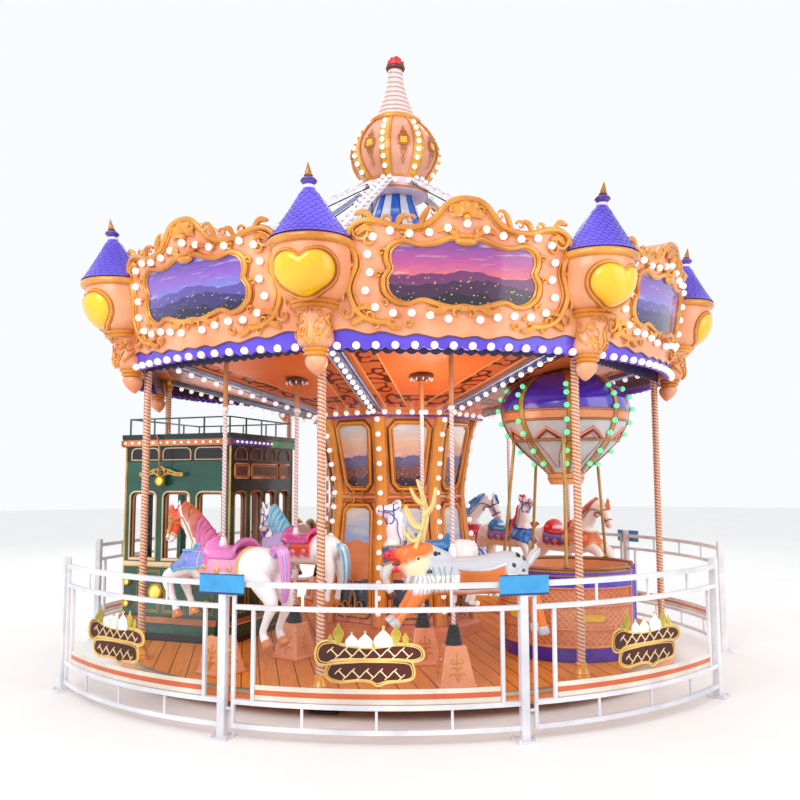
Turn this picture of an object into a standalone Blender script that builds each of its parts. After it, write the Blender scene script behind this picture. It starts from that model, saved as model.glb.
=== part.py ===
"""Fairground carousel: eight-sided canopy on a turning round platform, inside a ring fence.

Metres, +Z up. The origin is on the ground, on the axis of the turntable. Angles are measured
in plan from -Y toward +X, so a piece modelled at angle 0 faces -Y. The ride turns clockwise
seen from above, so the animals at the front face -X.
"""
import math

import bmesh
import bpy
import numpy as np
from mathutils import Matrix, Vector

# Driving dimensions
SIDES = 8                       # sides of the canopy and of the core
GAP = 0.0003                    # gap kept where two pieces touch
SLIVER = 0.0001
FIT = 0.0006                    # radial clearance of a pole in its sleeve

DECK_RADIUS = 2.66
DECK_TOP = 0.17
DECK_BOTTOM = 0.07
BASE_HEIGHT = 0.05
HUB_RADIUS = 0.45

CEILING_BOTTOM = 2.74           # underside of the ceiling at its level rim
CEILING_THICK = 0.03
CEILING_TOP = CEILING_BOTTOM + CEILING_THICK
CEILING_APOTHEM = 2.4466
CEILING_CORNER = 2.588
CEILING_BEND = 2.50             # corner radius at which the ceiling starts to fall inward
CEILING_FOOT = 2.33             # underside of the ceiling where it meets the core
CORE_HEAD = 0.95                # corner radius of the core at its top

CORE_RINGS = ((0.17, 0.86), (0.27, 0.86), (0.31, 0.78), (0.90, 0.74), (1.48, 0.675), (1.57, 0.675),
              (2.02, 0.745), (2.25, 0.81), (CEILING_FOOT - GAP, CORE_HEAD))

LEAN = 0.165                    # outward lean of the canopy, per metre of height
LEAN_FOOT = 2.48                # height at which the turret axis is at TURRET_RADIUS
TURRET_RADIUS = 2.68

PANEL_BOTTOM = 2.585
PANEL_THICK = 0.05
PANEL_INSET = 0.02              # panel corner radius inside the turret axis

POLE_RING = 2.555               # the eight outer columns
COLUMN_RADIUS = 0.030

FENCE_RADIUS = 3.165
FENCE_HEIGHT = 1.05
FENCE_BAY = 36.0                # degrees between fence posts
FRONT_START = -67.3             # angle of the first post of the front run
FRONT_BAYS = 3
BACK_START = 73.2               # angle of the first post of the back run
BACK_BAYS = 5

ROD_RADIUS = 0.018              # the rods that the animals ride on
ROD_SIDES = 8
OUTER_ROW = 2.34
INNER_ROW = 1.58

GONDOLA_RING = 1.85
GONDOLA_ANGLE = 45.0
GONDOLA_DOOR = 62.0
ROUND_SIDES = 16                # facets of the balloon and its basket

TRAM_CENTRE_RADIUS = 1.868
TRAM_CENTRE_ANGLE = -98.2
TRAM_FACING = -31.0             # direction that the wide face looks in
TRAM_WIDTH = 1.16
TRAM_LENGTH = 1.20


def turn(angle):
    """Matrix that carries a piece modelled at angle 0 to its angle in plan."""
    return Matrix.Rotation(math.radians(angle), 4, 'Z')


def polar(radius, angle, z=0.0):
    a = math.radians(angle)
    return Vector((radius * math.sin(a), -radius * math.cos(a), z))


def material(name, color, roughness, metallic=0.0):
    made = bpy.data.materials.new(name)
    made.use_nodes = True
    shader = made.node_tree.nodes["Principled BSDF"]
    shader.inputs["Base Color"].default_value = (*color, 1.0)
    shader.inputs["Roughness"].default_value = roughness
    shader.inputs["Metallic"].default_value = metallic
    return made


def loft(rings, close_rings=False):
    """Closed bmesh through rings of equal length; caps at both ends unless the rings close."""
    bm = bmesh.new()
    loops = [[bm.verts.new(p) for p in ring] for ring in rings]
    count = len(loops[0])
    pairs = list(zip(loops, loops[1:]))
    if close_rings:
        pairs.append((loops[-1], loops[0]))
    for low, high in pairs:
        for i in range(count):
            j = (i + 1) % count
            bm.faces.new((low[i], low[j], high[j], high[i]))
    if not close_rings:
        bm.faces.new(list(reversed(loops[0])))
        bm.faces.new(loops[-1])
    bmesh.ops.recalc_face_normals(bm, faces=bm.faces)
    return bm


def circle(radius, z, steps, centre=(0.0, 0.0), phase=0.0):
    """Points of a horizontal circle; a half-step phase gives flat sides toward -Y."""
    return [(centre[0] + radius * math.sin(2 * math.pi * (i + phase) / steps),
             centre[1] - radius * math.cos(2 * math.pi * (i + phase) / steps), z)
            for i in range(steps)]


def turned(profile, steps, centre=(0.0, 0.0), phase=0.0):
    """Solid of revolution about Z through (radius, z) pairs, flat at both ends."""
    return loft([circle(r, z, steps, centre, phase) for r, z in profile])


def ring(inner, outer, low, high, steps, phase=0.0):
    """Flat-sided ring about Z."""
    return loft([circle(inner, low, steps, phase=phase), circle(outer, low, steps, phase=phase),
                 circle(outer, high, steps, phase=phase), circle(inner, high, steps, phase=phase)],
                close_rings=True)


def box(low, high):
    (x0, y0, z0), (x1, y1, z1) = low, high
    return loft([[(x0, y0, z), (x1, y0, z), (x1, y1, z), (x0, y1, z)] for z in (z0, z1)])


def bar(start, end, radius, sides=6, end_radius=None, flat=1.0):
    """Round bar between two points; flat squeezes it across the XZ plane."""
    start, end = Vector(start), Vector(end)
    along = (end - start).normalized()
    helper = Vector((0, 1, 0)) if abs(along.y) < 0.9 else Vector((1, 0, 0))
    across = along.cross(helper).normalized()
    side = along.cross(across).normalized()
    rings = []
    for point, size in ((start, radius), (end, radius if end_radius is None else end_radius)):
        ring_points = []
        for i in range(sides):
            a = 2 * math.pi * (i + 0.5) / sides
            offset = across * math.cos(a) * size + side * math.sin(a) * size * flat
            ring_points.append(point + offset)
        rings.append(ring_points)
    return loft(rings)


def slab(outline, y_front, y_back):
    """Upright plate: an outline of (x, z) points between two depths."""
    return loft([[(x, y, z) for x, z in outline] for y in (y_front, y_back)])


def mesh_of(bm, name):
    mesh = bpy.data.meshes.new(name)
    bm.to_mesh(mesh)
    bm.free()
    return mesh


def scratch_object(bm, name="cutter"):
    made = bpy.data.objects.new(name, mesh_of(bm, name))
    bpy.context.scene.collection.objects.link(made)
    return made


def boolean(base, others, operation):
    """One exact Boolean of bmesh base with each bmesh of others, as a new mesh."""
    target = scratch_object(base, "target")
    cutters = [scratch_object(bm) for bm in others]
    for cutter in cutters:
        modifier = target.modifiers.new("Boolean", 'BOOLEAN')
        modifier.operation = operation
        modifier.solver = 'EXACT'
        modifier.object = cutter
    graph = bpy.context.evaluated_depsgraph_get()
    mesh = bpy.data.meshes.new_from_object(target.evaluated_get(graph))
    for scratch in [target] + cutters:
        bpy.data.objects.remove(scratch)
    bm = bmesh.new()
    bm.from_mesh(mesh)
    bmesh.ops.remove_doubles(bm, verts=bm.verts, dist=1e-5)
    bmesh.ops.dissolve_limit(bm, angle_limit=math.radians(0.2), verts=bm.verts, edges=bm.edges)
    bmesh.ops.triangulate(bm, faces=bm.faces)
    bmesh.ops.dissolve_degenerate(bm, dist=SLIVER, edges=bm.edges)
    return bm


def fused(parts):
    return boolean(parts[0], parts[1:], 'UNION')


def cut(base, cutters):
    return boolean(base, cutters, 'DIFFERENCE')


def place(name, mesh, look, matrix=None):
    """Put a mesh in the scene as one named piece."""
    made = bpy.data.objects.new(name, mesh)
    bpy.context.scene.collection.objects.link(made)
    if not mesh.materials:
        mesh.materials.append(look)
    if matrix is not None:
        made.matrix_world = matrix
    return made


# Ground frame and bearing

def base_frame():
    """Steel spider with footplates that stands on the ground under the platform."""
    arm_half, foot_half, arm_end = 0.045, 0.10, 2.48
    parts = [turned(((HUB_RADIUS, 0.0), (HUB_RADIUS, BASE_HEIGHT)), 16)]
    for side in range(SIDES):
        arm = box((-arm_half, -arm_end, 0.004), (arm_half, -HUB_RADIUS + 0.05, BASE_HEIGHT - 0.002))
        foot = box((-foot_half, -arm_end - 0.02, 0.0), (foot_half, -arm_end + 0.18, 0.02))
        for piece in (arm, foot):
            piece.transform(turn(side * 45.0 + 22.5))
            parts.append(piece)
    return fused(parts)


def bearing():
    return ring(0.26, 0.40, BASE_HEIGHT + GAP, DECK_BOTTOM - GAP, 16)


# Platform, core and ceiling

def pedestal(radius, angle):
    """Tapered box with a rubber bellows on top, round the foot of a rod."""
    low = DECK_TOP - 0.01
    parts = [
        loft([[(-w, -w, z), (w, -w, z), (w, w, z), (-w, w, z)]
              for z, w in ((low, 0.14), (DECK_TOP + 0.025, 0.14), (DECK_TOP + 0.285, 0.078))]),
        turned(((0.066, DECK_TOP + 0.28), (0.060, DECK_TOP + 0.35), (0.032, DECK_TOP + 0.42)),
               ROD_SIDES, phase=0.5),
    ]
    made = fused(parts)
    made.transform(turn(angle) @ Matrix.Translation((0.0, -radius, 0.0)))
    return made


def rod_hole(radius, angle, low, high):
    hole = turned(((ROD_RADIUS + FIT, low), (ROD_RADIUS + FIT, high)), ROD_SIDES, phase=0.5)
    hole.transform(turn(angle) @ Matrix.Translation((0.0, -radius, 0.0)))
    return hole


# Angles of the outer and inner animal of each pair, between the tram and the balloon
PAIRS = ((0.0, -2.5), (-46.0, -43.5), (111.0, 116.0), (153.0, 158.0), (-165.0, -159.0))


def seats():
    """Where each animal rides: name, row radius, angle and lift of its rest place."""
    places = []
    for number, (outer_angle, inner_angle) in enumerate(PAIRS, start=1):
        outer_lift, inner_lift = ((0.03, 0.07), (0.0, 0.03))[number % 2]
        places.append((f"outer_{number}", OUTER_ROW, outer_angle, outer_lift))
        places.append((f"inner_{number}", INNER_ROW, inner_angle, inner_lift))
    return places


def platform():
    disc = turned(((DECK_RADIUS, DECK_BOTTOM), (DECK_RADIUS, DECK_TOP)), 48)
    made = fused([disc] + [pedestal(radius, angle) for _, radius, angle, _ in seats()])
    floor = DECK_TOP + 0.005
    return cut(made, [rod_hole(radius, angle, floor, DECK_TOP + 0.6)
                      for _, radius, angle, _ in seats()])


def core():
    """Waisted eight-sided centre column with its ledge."""
    rings = [circle(r, z + (GAP if z == CORE_RINGS[0][0] else 0.0), SIDES, phase=0.5)
             for z, r in CORE_RINGS]
    return loft(rings)


def ceiling_underside(drop=0.0):
    """Corner radius and height pairs of the ceiling's underside, from the core to the rim."""
    corner = CEILING_APOTHEM / math.cos(math.pi / SIDES)
    return ((CORE_HEAD, CEILING_FOOT - drop), (CEILING_BEND, CEILING_BOTTOM - drop),
            (corner, CEILING_BOTTOM - drop))


def ceiling():
    """Eight-sided ceiling that falls toward the core, its corners cut back at the turrets."""
    upper = [(r, z + CEILING_THICK) for r, z in reversed(ceiling_underside())]
    plate = turned((*ceiling_underside(), *upper), SIDES, phase=0.5)
    trims = []
    for side in range(SIDES):
        trim = box((-0.3, -CEILING_CORNER - 0.3, CEILING_BOTTOM - 0.1),
                   (0.3, -CEILING_CORNER, CEILING_TOP + 0.1))
        trim.transform(turn(side * 45.0 + 22.5))
        trims.append(trim)
    holes = [rod_hole(radius, angle, CEILING_FOOT - 0.1, CEILING_TOP + 0.1)
             for _, radius, angle, _ in seats()]
    return cut(plate, trims + holes)


def column():
    """One of the eight outer columns, with its base."""
    return turned(((0.062, DECK_TOP + GAP), (0.062, DECK_TOP + 0.03), (0.036, DECK_TOP + 0.09),
                   (COLUMN_RADIUS, DECK_TOP + 0.12), (COLUMN_RADIUS, CEILING_BOTTOM - GAP)), 8,
                  centre=(0.0, -POLE_RING))


# Canopy

def axis_radius(z):
    return TURRET_RADIUS + LEAN * (z - LEAN_FOOT)


TURRET_SIDES = 10
TURRET_PROFILE = ((0.030, 2.405), (0.086, 2.45), (0.086, 2.51), (0.060, 2.545), (0.088, 2.56),
                  (0.088, 2.60), (0.135, 2.78), (0.168, 2.875), (0.168, 2.915), (0.25, 3.02),
                  (0.285, 3.27), (0.314, 3.29), (0.314, 3.335), (0.15, 3.55), (0.055, 3.715),
                  (0.075, 3.775), (0.012, 3.895))


def turret(grow=0.0):
    return loft([circle(r + grow, z, TURRET_SIDES, (0.0, -axis_radius(z)), 0.5)
                 for r, z in TURRET_PROFILE])


def panel_face(z):
    """Distance of the outer face of a cornice panel from the axis."""
    return (axis_radius(z) - PANEL_INSET) * math.cos(math.pi / SIDES)


PANEL_HALF = 1.02               # half length of a panel along its bow
BOARD_TOP = ((0.0, 3.66), (0.14, 3.66), (0.24, 3.55), (0.50, 3.50), (0.72, 3.38), (1.02, 3.34))
FRAME_TOP = ((0.0, 3.44), (0.48, 3.44), (0.70, 3.34), (0.76, 3.10))
FRAME_FOOT = ((0.0, 2.76), (0.50, 2.76), (0.70, 2.86), (0.76, 3.08))


def height_at(edge, x):
    """Height of an edge line, given as (distance from the middle, z), at a place along the panel."""
    return float(np.interp(abs(x), [p[0] for p in edge], [p[1] for p in edge]))


def bowed(x, z, depth):
    """Point on a panel's outer face, which follows the circle through the turret axes."""
    half_angle = 180.0 / SIDES * x / PANEL_HALF
    return polar(axis_radius(z) - PANEL_INSET + depth, half_angle, z)


def panel_slab(half, top, foot, front, back):
    """Bowed outside over a straight back; back gives the depth of that back at the middle plane."""
    steps = sorted({side * p[0] for p in top for side in (-1, 1)} | {-half * 0.85, half * 0.85})
    rings = []
    for x in steps:
        low, high = height_at(foot, x), height_at(top, x)
        behind = [Vector((bowed(x, z, 0.0).x, -panel_face(z) + back, z)) for z in (high, low)]
        rings.append([bowed(x, low, front), bowed(x, high, front), *behind])
    return loft(rings)


def cornice_panel():
    board = panel_slab(PANEL_HALF, BOARD_TOP, ((0.0, PANEL_BOTTOM),), 0.0, PANEL_THICK)
    frame = panel_slab(FRAME_TOP[-1][0], FRAME_TOP, FRAME_FOOT, 0.05, 0.0)
    neighbours = []
    for angle in (-22.5, 22.5):
        post = turret(grow=0.0008)
        post.transform(turn(angle))
        neighbours.append(post)
    return cut(fused([board, frame]), neighbours)


ROOF_RINGS = ((3.20, 1.0), (3.38, 0.90), (3.58, 0.70), (3.74, 0.50), (3.90, 0.28), (4.10, 0.165),
              (4.35, 0.11), (4.60, 0.075))
ROOF_EDGE_CLEAR = 0.0004
ROOF_CORNER = 2.50
ROOF_SHELL = 0.025


def roof_ring(scale, z, drop=0.0):
    """Eight-sided ring with cut corners, scaled from the eaves of the roof."""
    apothem = panel_face(ROOF_RINGS[0][0]) - PANEL_THICK - ROOF_EDGE_CLEAR
    half = (ROOF_CORNER - apothem * math.cos(math.pi / SIDES)) / math.sin(math.pi / SIDES)
    points = []
    for side in range(SIDES):
        for x in (-half, half):
            points.append(turn(side * 45.0) @ Vector((x * scale, -apothem * scale, z - drop)))
    return points


def roof():
    outside = [roof_ring(s, z) for z, s in ROOF_RINGS]
    inside = [roof_ring(s * 0.97, z, ROOF_SHELL) for z, s in reversed(ROOF_RINGS)]
    return loft(outside + inside, close_rings=True)


def mast_and_crown():
    """Centre mast from the ceiling up, with the ribbed crown on it."""
    foot = CEILING_FOOT + CEILING_THICK + GAP
    return turned(((0.10, foot), (0.10, 4.60 + GAP), (0.30, 4.60 + GAP), (0.335, 4.65),
                   (0.335, 4.73), (0.30, 4.76), (0.41, 4.88), (0.467, 5.04),
                   (0.44, 5.18), (0.34, 5.33), (0.25, 5.40), (0.25, 5.46)), 12, phase=0.5)


def spire():
    return turned(((0.235, 5.46 + GAP), (0.18, 5.58), (0.125, 5.73), (0.095, 5.87), (0.082, 5.97),
                   (0.105, 6.03), (0.105, 6.09), (0.075, 6.15), (0.02, 6.19)), 12, phase=0.5)


# Balloon ride

def gondola_place():
    return Matrix.Translation(polar(GONDOLA_RING, GONDOLA_ANGLE)) @ turn(GONDOLA_DOOR)


BALLOON_PROFILE = ((0.140, 1.61), (0.158, 1.64), (0.165, 1.715), (0.150, 1.72), (0.33, 1.865),
                   (0.450, 1.98), (0.450, 2.01), (0.545, 2.17), (0.565, 2.30), (0.525, 2.42),
                   (0.40, 2.54), (0.20, 2.635), (0.05, 2.66))


def balloon():
    """Balloon whose top is cut off by the sloping ceiling."""
    sky = turned((*ceiling_underside(GAP), (CEILING_BEND, CEILING_TOP + 0.1)), SIDES, phase=0.5)
    sky.transform(gondola_place().inverted())
    return cut(turned(BALLOON_PROFILE, ROUND_SIDES, phase=0.5), [sky])


def balloon_frame():
    """Hoop under the balloon and the four brass poles that carry it."""
    hoop = ring(0.4505, 0.480, 1.982, 2.008, ROUND_SIDES, phase=0.5)
    rail_radius, rail_top = 0.577, 0.935 + GAP
    poles = []
    for angle in (-157.0, -85.0, 59.0, 131.0):
        foot = polar(rail_radius, angle)
        poles.append(bar(polar(0.466, angle, 1.995), polar(rail_radius, angle, rail_top + 0.005),
                         0.014, 6))
        poles.append(turned(((0.022, rail_top), (0.022, rail_top + 0.010)), 6, (foot.x, foot.y)))
    return fused([hoop] + poles)


def gondola():
    """Round basket with a bench inside and a doorway toward the edge of the platform."""
    outer = turned(((0.56, DECK_TOP + GAP), (0.585, 0.30), (0.60, 0.45), (0.60, 0.87),
                    (0.61, 0.90), (0.61, 0.935)), ROUND_SIDES, phase=0.5)
    hollow = turned(((0.53, 0.22), (0.55, 0.95)), ROUND_SIDES, phase=0.5)
    shell = cut(outer, [hollow])
    bench = cut(turned(((0.545, 0.21), (0.555, 0.48)), ROUND_SIDES, phase=0.5),
                [turned(((0.30, 0.15), (0.30, 0.60)), ROUND_SIDES, phase=0.5)])
    door = box((-0.22, -0.80, 0.26), (0.22, -0.10, 1.10))
    bench_gap = box((-0.22, -0.515, 0.22), (0.22, -0.10, 0.60))
    return cut(fused([shell, bench]), [door, bench_gap])


# Tram car

def tram():
    """Hollow tram body with a roof railing; the wide face looks along local -Y."""
    half_w, half_l = TRAM_WIDTH / 2, TRAM_LENGTH / 2
    wall = 0.045
    floor, eaves, top, window_top = DECK_TOP + GAP, 1.985, 2.10, 1.545
    body = box((-half_w, -half_l, floor), (half_w, half_l, eaves))
    cornice = box((-half_w - 0.03, -half_l - 0.03, eaves - 0.005), (half_w + 0.03, half_l + 0.03, top))
    hollow = box((-half_w + wall, -half_l + wall, floor + 0.08),
                 (half_w - wall, half_l - wall, eaves - 0.05))
    shell = cut(fused([body, cornice]), [hollow])
    openings = []
    for x in (-0.375, 0.0, 0.375):
        openings.append(box((x - 0.14, -half_l - 0.1, 0.92), (x + 0.14, -half_l + 0.1, window_top)))
        openings.append(box((x - 0.14, half_l - 0.1, 0.92), (x + 0.14, half_l + 0.1, window_top)))
    for y in (-0.42, -0.14, 0.14, 0.42):
        openings.append(box((half_w - 0.1, y - 0.09, 0.92), (half_w + 0.1, y + 0.09, window_top)))
    for y in (-0.42, 0.42):
        openings.append(box((-half_w - 0.1, y - 0.09, 0.92), (-half_w + 0.1, y + 0.09, window_top)))
    openings.append(box((-half_w - 0.1, -0.24, floor + 0.08), (-half_w + 0.1, 0.24, 1.62)))
    shell = cut(shell, openings)
    rails = []
    rail_top = 2.26
    for x0, y0, x1, y1 in ((-1, -1, 1, -1), (1, -1, 1, 1), (1, 1, -1, 1), (-1, 1, -1, -1)):
        start = Vector((x0 * (half_w - 0.02), y0 * (half_l - 0.02), rail_top - 0.008))
        end = Vector((x1 * (half_w - 0.02), y1 * (half_l - 0.02), rail_top - 0.008))
        rails.append(bar(start, end, 0.010, 4))
        for step in range(4):
            foot = start.lerp(end, step / 4)
            rails.append(bar((foot.x, foot.y, top - 0.01), (foot.x, foot.y, rail_top - 0.004), 0.009, 4))
    return fused([shell] + rails)


# Animals: x forward, y outward, z above the platform

def limb(points, radii, y, flat=1.0, sides=4):
    """Tapered tube through (x, z) points in the plane at y, bent with mitred rings."""
    spine = [Vector((x, y, z)) for x, z in points]
    rings = []
    for i, (point, size) in enumerate(zip(spine, radii)):
        before = spine[max(i - 1, 0)]
        after = spine[min(i + 1, len(spine) - 1)]
        along = (after - before).normalized()
        across = along.cross(Vector((0, 1, 0)))
        ring_points = []
        for k in range(sides):
            a = 2 * math.pi * (k + 0.5) / sides
            ring_points.append(point + across * math.cos(a) * size
                               + Vector((0, math.sin(a) * size * flat, 0)))
        rings.append(ring_points)
    return [loft(rings)]


def barrel(stations, sides=8):
    rings = []
    for x, z, half_height, half_width in stations:
        rings.append([(x, half_width * math.cos(2 * math.pi * (i + 0.5) / sides),
                       z + half_height * math.sin(2 * math.pi * (i + 0.5) / sides))
                      for i in range(sides)])
    return loft(rings)


ROD_LOW = 0.13                  # rod ends above the platform, with the animal at rest
ROD_HIGH = CEILING_TOP - DECK_TOP + 0.13


# Side views of each kind of animal, as (forward, up) points from the rod's foot on the platform
TUCKED = {"neck": ((0.20, 0.86), (0.30, 1.05), (0.37, 1.22), (0.45, 1.15), (0.52, 1.00)),
          "ear": ((0.34, 1.24), (0.33, 1.34)),
          "foreleg": ((0.27, 0.78), (0.37, 0.62), (0.33, 0.44)),
          "hind_leg": ((-0.43, 0.80), (-0.52, 0.52), (-0.48, 0.27)),
          "tail": ((-0.55, 0.85), (-0.625, 0.79), (-0.65, 0.67), (-0.66, 0.50))}
LEVEL = {**TUCKED, "neck": ((0.20, 0.86), (0.27, 1.04), (0.27, 1.22), (0.36, 1.27), (0.47, 1.25)),
         "ear": ((0.25, 1.25), (0.22, 1.37))}
JUMPING = {"neck": ((0.20, 0.86), (0.32, 1.05), (0.46, 1.20), (0.58, 1.18), (0.64, 0.99)),
           "ear": ((0.555, 1.19), (0.61, 1.33)),
           "foreleg": ((0.28, 0.79), (0.55, 0.68), (0.44, 0.42)),
           "hind_leg": ((-0.43, 0.80), (-0.61, 0.56), (-0.54, 0.37), (-0.57, 0.30)),
           "tail": ((-0.53, 0.86), (-0.61, 0.94), (-0.67, 0.80), (-0.665, 0.56))}
REINDEER = {"neck": ((0.14, 0.86), (0.26, 0.91), (0.35, 0.93), (0.44, 0.92), (0.52, 0.90)),
            "antler": ((0.30, 0.98), (0.22, 1.22), (0.28, 1.48)),
            "foreleg": ((0.25, 0.78), (0.31, 0.63), (0.44, 0.48)),
            "hind_leg": ((-0.43, 0.80), (-0.60, 0.60), (-0.67, 0.36)),
            "tail": ((-0.54, 0.83), (-0.60, 0.89), (-0.66, 0.95))}
KINDS = {"outer_1": REINDEER, "inner_1": LEVEL, "inner_3": LEVEL}
LEG_OFFSET = 0.085


SADDLE_HEIGHT = 1.0             # height above the platform that stays in a smaller animal
INNER_SIZE = 0.82               # size of the inner animals beside the outer ones


def animal(side_view, size):
    """One animal on its rod; size shrinks the animal and leaves the rod as it is."""
    parts = [barrel(((-0.585, 0.80, 0.05, 0.05), (-0.53, 0.81, 0.12, 0.10), (-0.40, 0.80, 0.165, 0.145),
                     (0.0, 0.79, 0.15, 0.145), (0.25, 0.83, 0.17, 0.14), (0.36, 0.85, 0.13, 0.10),
                     (0.405, 0.86, 0.05, 0.05))),
             box((-0.24, -0.10, 0.88), (0.12, 0.10, 0.965))]
    parts += limb(side_view["neck"], (0.13, 0.11, 0.085, 0.07, 0.04), 0.0, 0.75, 6)
    parts += limb(side_view["tail"], (0.045, 0.055, 0.045, 0.025), 0.0)
    for y in (-LEG_OFFSET, LEG_OFFSET):
        parts += limb(side_view["foreleg"], (0.075, 0.045, 0.038), y)
        parts += limb(side_view["hind_leg"], (0.10, 0.045, 0.040, 0.036), y)
        if "antler" in side_view:
            parts += limb(side_view["antler"], (0.022, 0.022, 0.010), y * 0.7)
            parts.append(bar((0.235, y * 0.7, 1.15), (0.37, y * 1.4, 1.30), 0.016, 4, 0.008))
            parts.append(bar((0.222, y * 0.7, 1.24), (0.12, y * 1.4, 1.41), 0.016, 4, 0.008))
        else:
            (base_x, base_z), (tip_x, tip_z) = side_view["ear"]
            parts.append(bar((base_x, y * 0.5, base_z), (tip_x, y * 0.55, tip_z), 0.024, 4, 0.006))
    saddle = Vector((0.0, 0.0, SADDLE_HEIGHT))
    for part in parts:
        part.transform(Matrix.Translation(saddle) @ Matrix.Scale(size, 4) @ Matrix.Translation(-saddle))
    rod = turned(((ROD_RADIUS, ROD_LOW), (ROD_RADIUS, ROD_HIGH)), ROD_SIDES, phase=0.5)
    return fused([rod] + parts)


def animal_matrix(radius, angle, lift):
    """Local x forward becomes the clockwise tangent; local y points away from the axis."""
    facing = Matrix.Rotation(math.pi, 4, 'Z')
    return turn(angle) @ Matrix.Translation((0.0, -radius, DECK_TOP + lift)) @ facing


# Fence

def arc_rail(low, high, start, end, steps, half=0.0175, radius=FENCE_RADIUS):
    rings = []
    for step in range(steps + 1):
        angle = start + (end - start) * step / steps
        rings.append([polar(radius - half, angle, low), polar(radius + half, angle, low),
                      polar(radius + half, angle, high), polar(radius - half, angle, high)])
    return loft(rings)


def upright(angle, low, high, half=0.014, radius=FENCE_RADIUS):
    made = box((-half, -radius - half, low), (half, -radius + half, high))
    made.transform(turn(angle))
    return made


RAIL_TOP = (0.965, 1.0)
RAIL_SECOND = (0.82, 0.85)
RAIL_LOWER = (0.22, 0.25)
RAIL_FOOT = (0.07, 0.10)


def fence_post(angle):
    half = 0.028
    post = box((-half, -FENCE_RADIUS - half, 0.005), (half, -FENCE_RADIUS + half, FENCE_HEIGHT))
    foot = box((-0.075, -FENCE_RADIUS - 0.075, 0.0), (0.075, -FENCE_RADIUS + 0.075, 0.012))
    made = fused([post, foot])
    made.transform(turn(angle))
    return made


BAY_FIRST = 1.45                # angle of the thin upright that starts a bay
INFILL_ENDS = (4.0, 33.4)       # angles of the uprights that hold the clear infill
PIN_HEIGHTS = (0.18, 0.90)      # hinge pins that hold a bay to the post before it


def fence_bay(first_post):
    """One welded bay from its thin upright to the post at FENCE_BAY, with its clear infill."""
    parts = [fence_post(FENCE_BAY)]
    for low, high in (RAIL_TOP, RAIL_SECOND, RAIL_LOWER, RAIL_FOOT):
        parts.append(arc_rail(low, high, BAY_FIRST, FENCE_BAY, 4))
    parts.append(arc_rail(RAIL_LOWER[1] - 0.005, RAIL_SECOND[0] + 0.005, *INFILL_ENDS, 4, 0.003))
    parts.append(upright(BAY_FIRST, RAIL_FOOT[0] - 0.003, RAIL_TOP[1] + 0.003, 0.016))
    for angle in INFILL_ENDS:
        parts.append(upright(angle, RAIL_LOWER[1] - 0.01, RAIL_SECOND[0] + 0.01))
    pin_start = math.degrees((0.028 + GAP) / FENCE_RADIUS)
    if first_post:
        parts.append(fence_post(0.0))
        pin_start = 0.0
    for height in PIN_HEIGHTS:
        parts.append(arc_rail(height, height + 0.016, pin_start, BAY_FIRST, 1, 0.008))
    return fused(parts)


def plaque():
    """Scroll board with little domes on top, on the outside of the clear infill."""
    outline = ((-0.24, 0.40), (0.24, 0.40), (0.30, 0.50), (0.36, 0.56), (0.34, 0.66), (0.22, 0.67),
               (0.18, 0.76), (0.10, 0.72), (0.02, 0.78), (-0.06, 0.70), (-0.14, 0.76), (-0.24, 0.66),
               (-0.34, 0.66), (-0.36, 0.56), (-0.28, 0.52))
    face = FENCE_RADIUS + 0.003 + GAP
    return slab(outline, -face - 0.015, -face)


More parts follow.
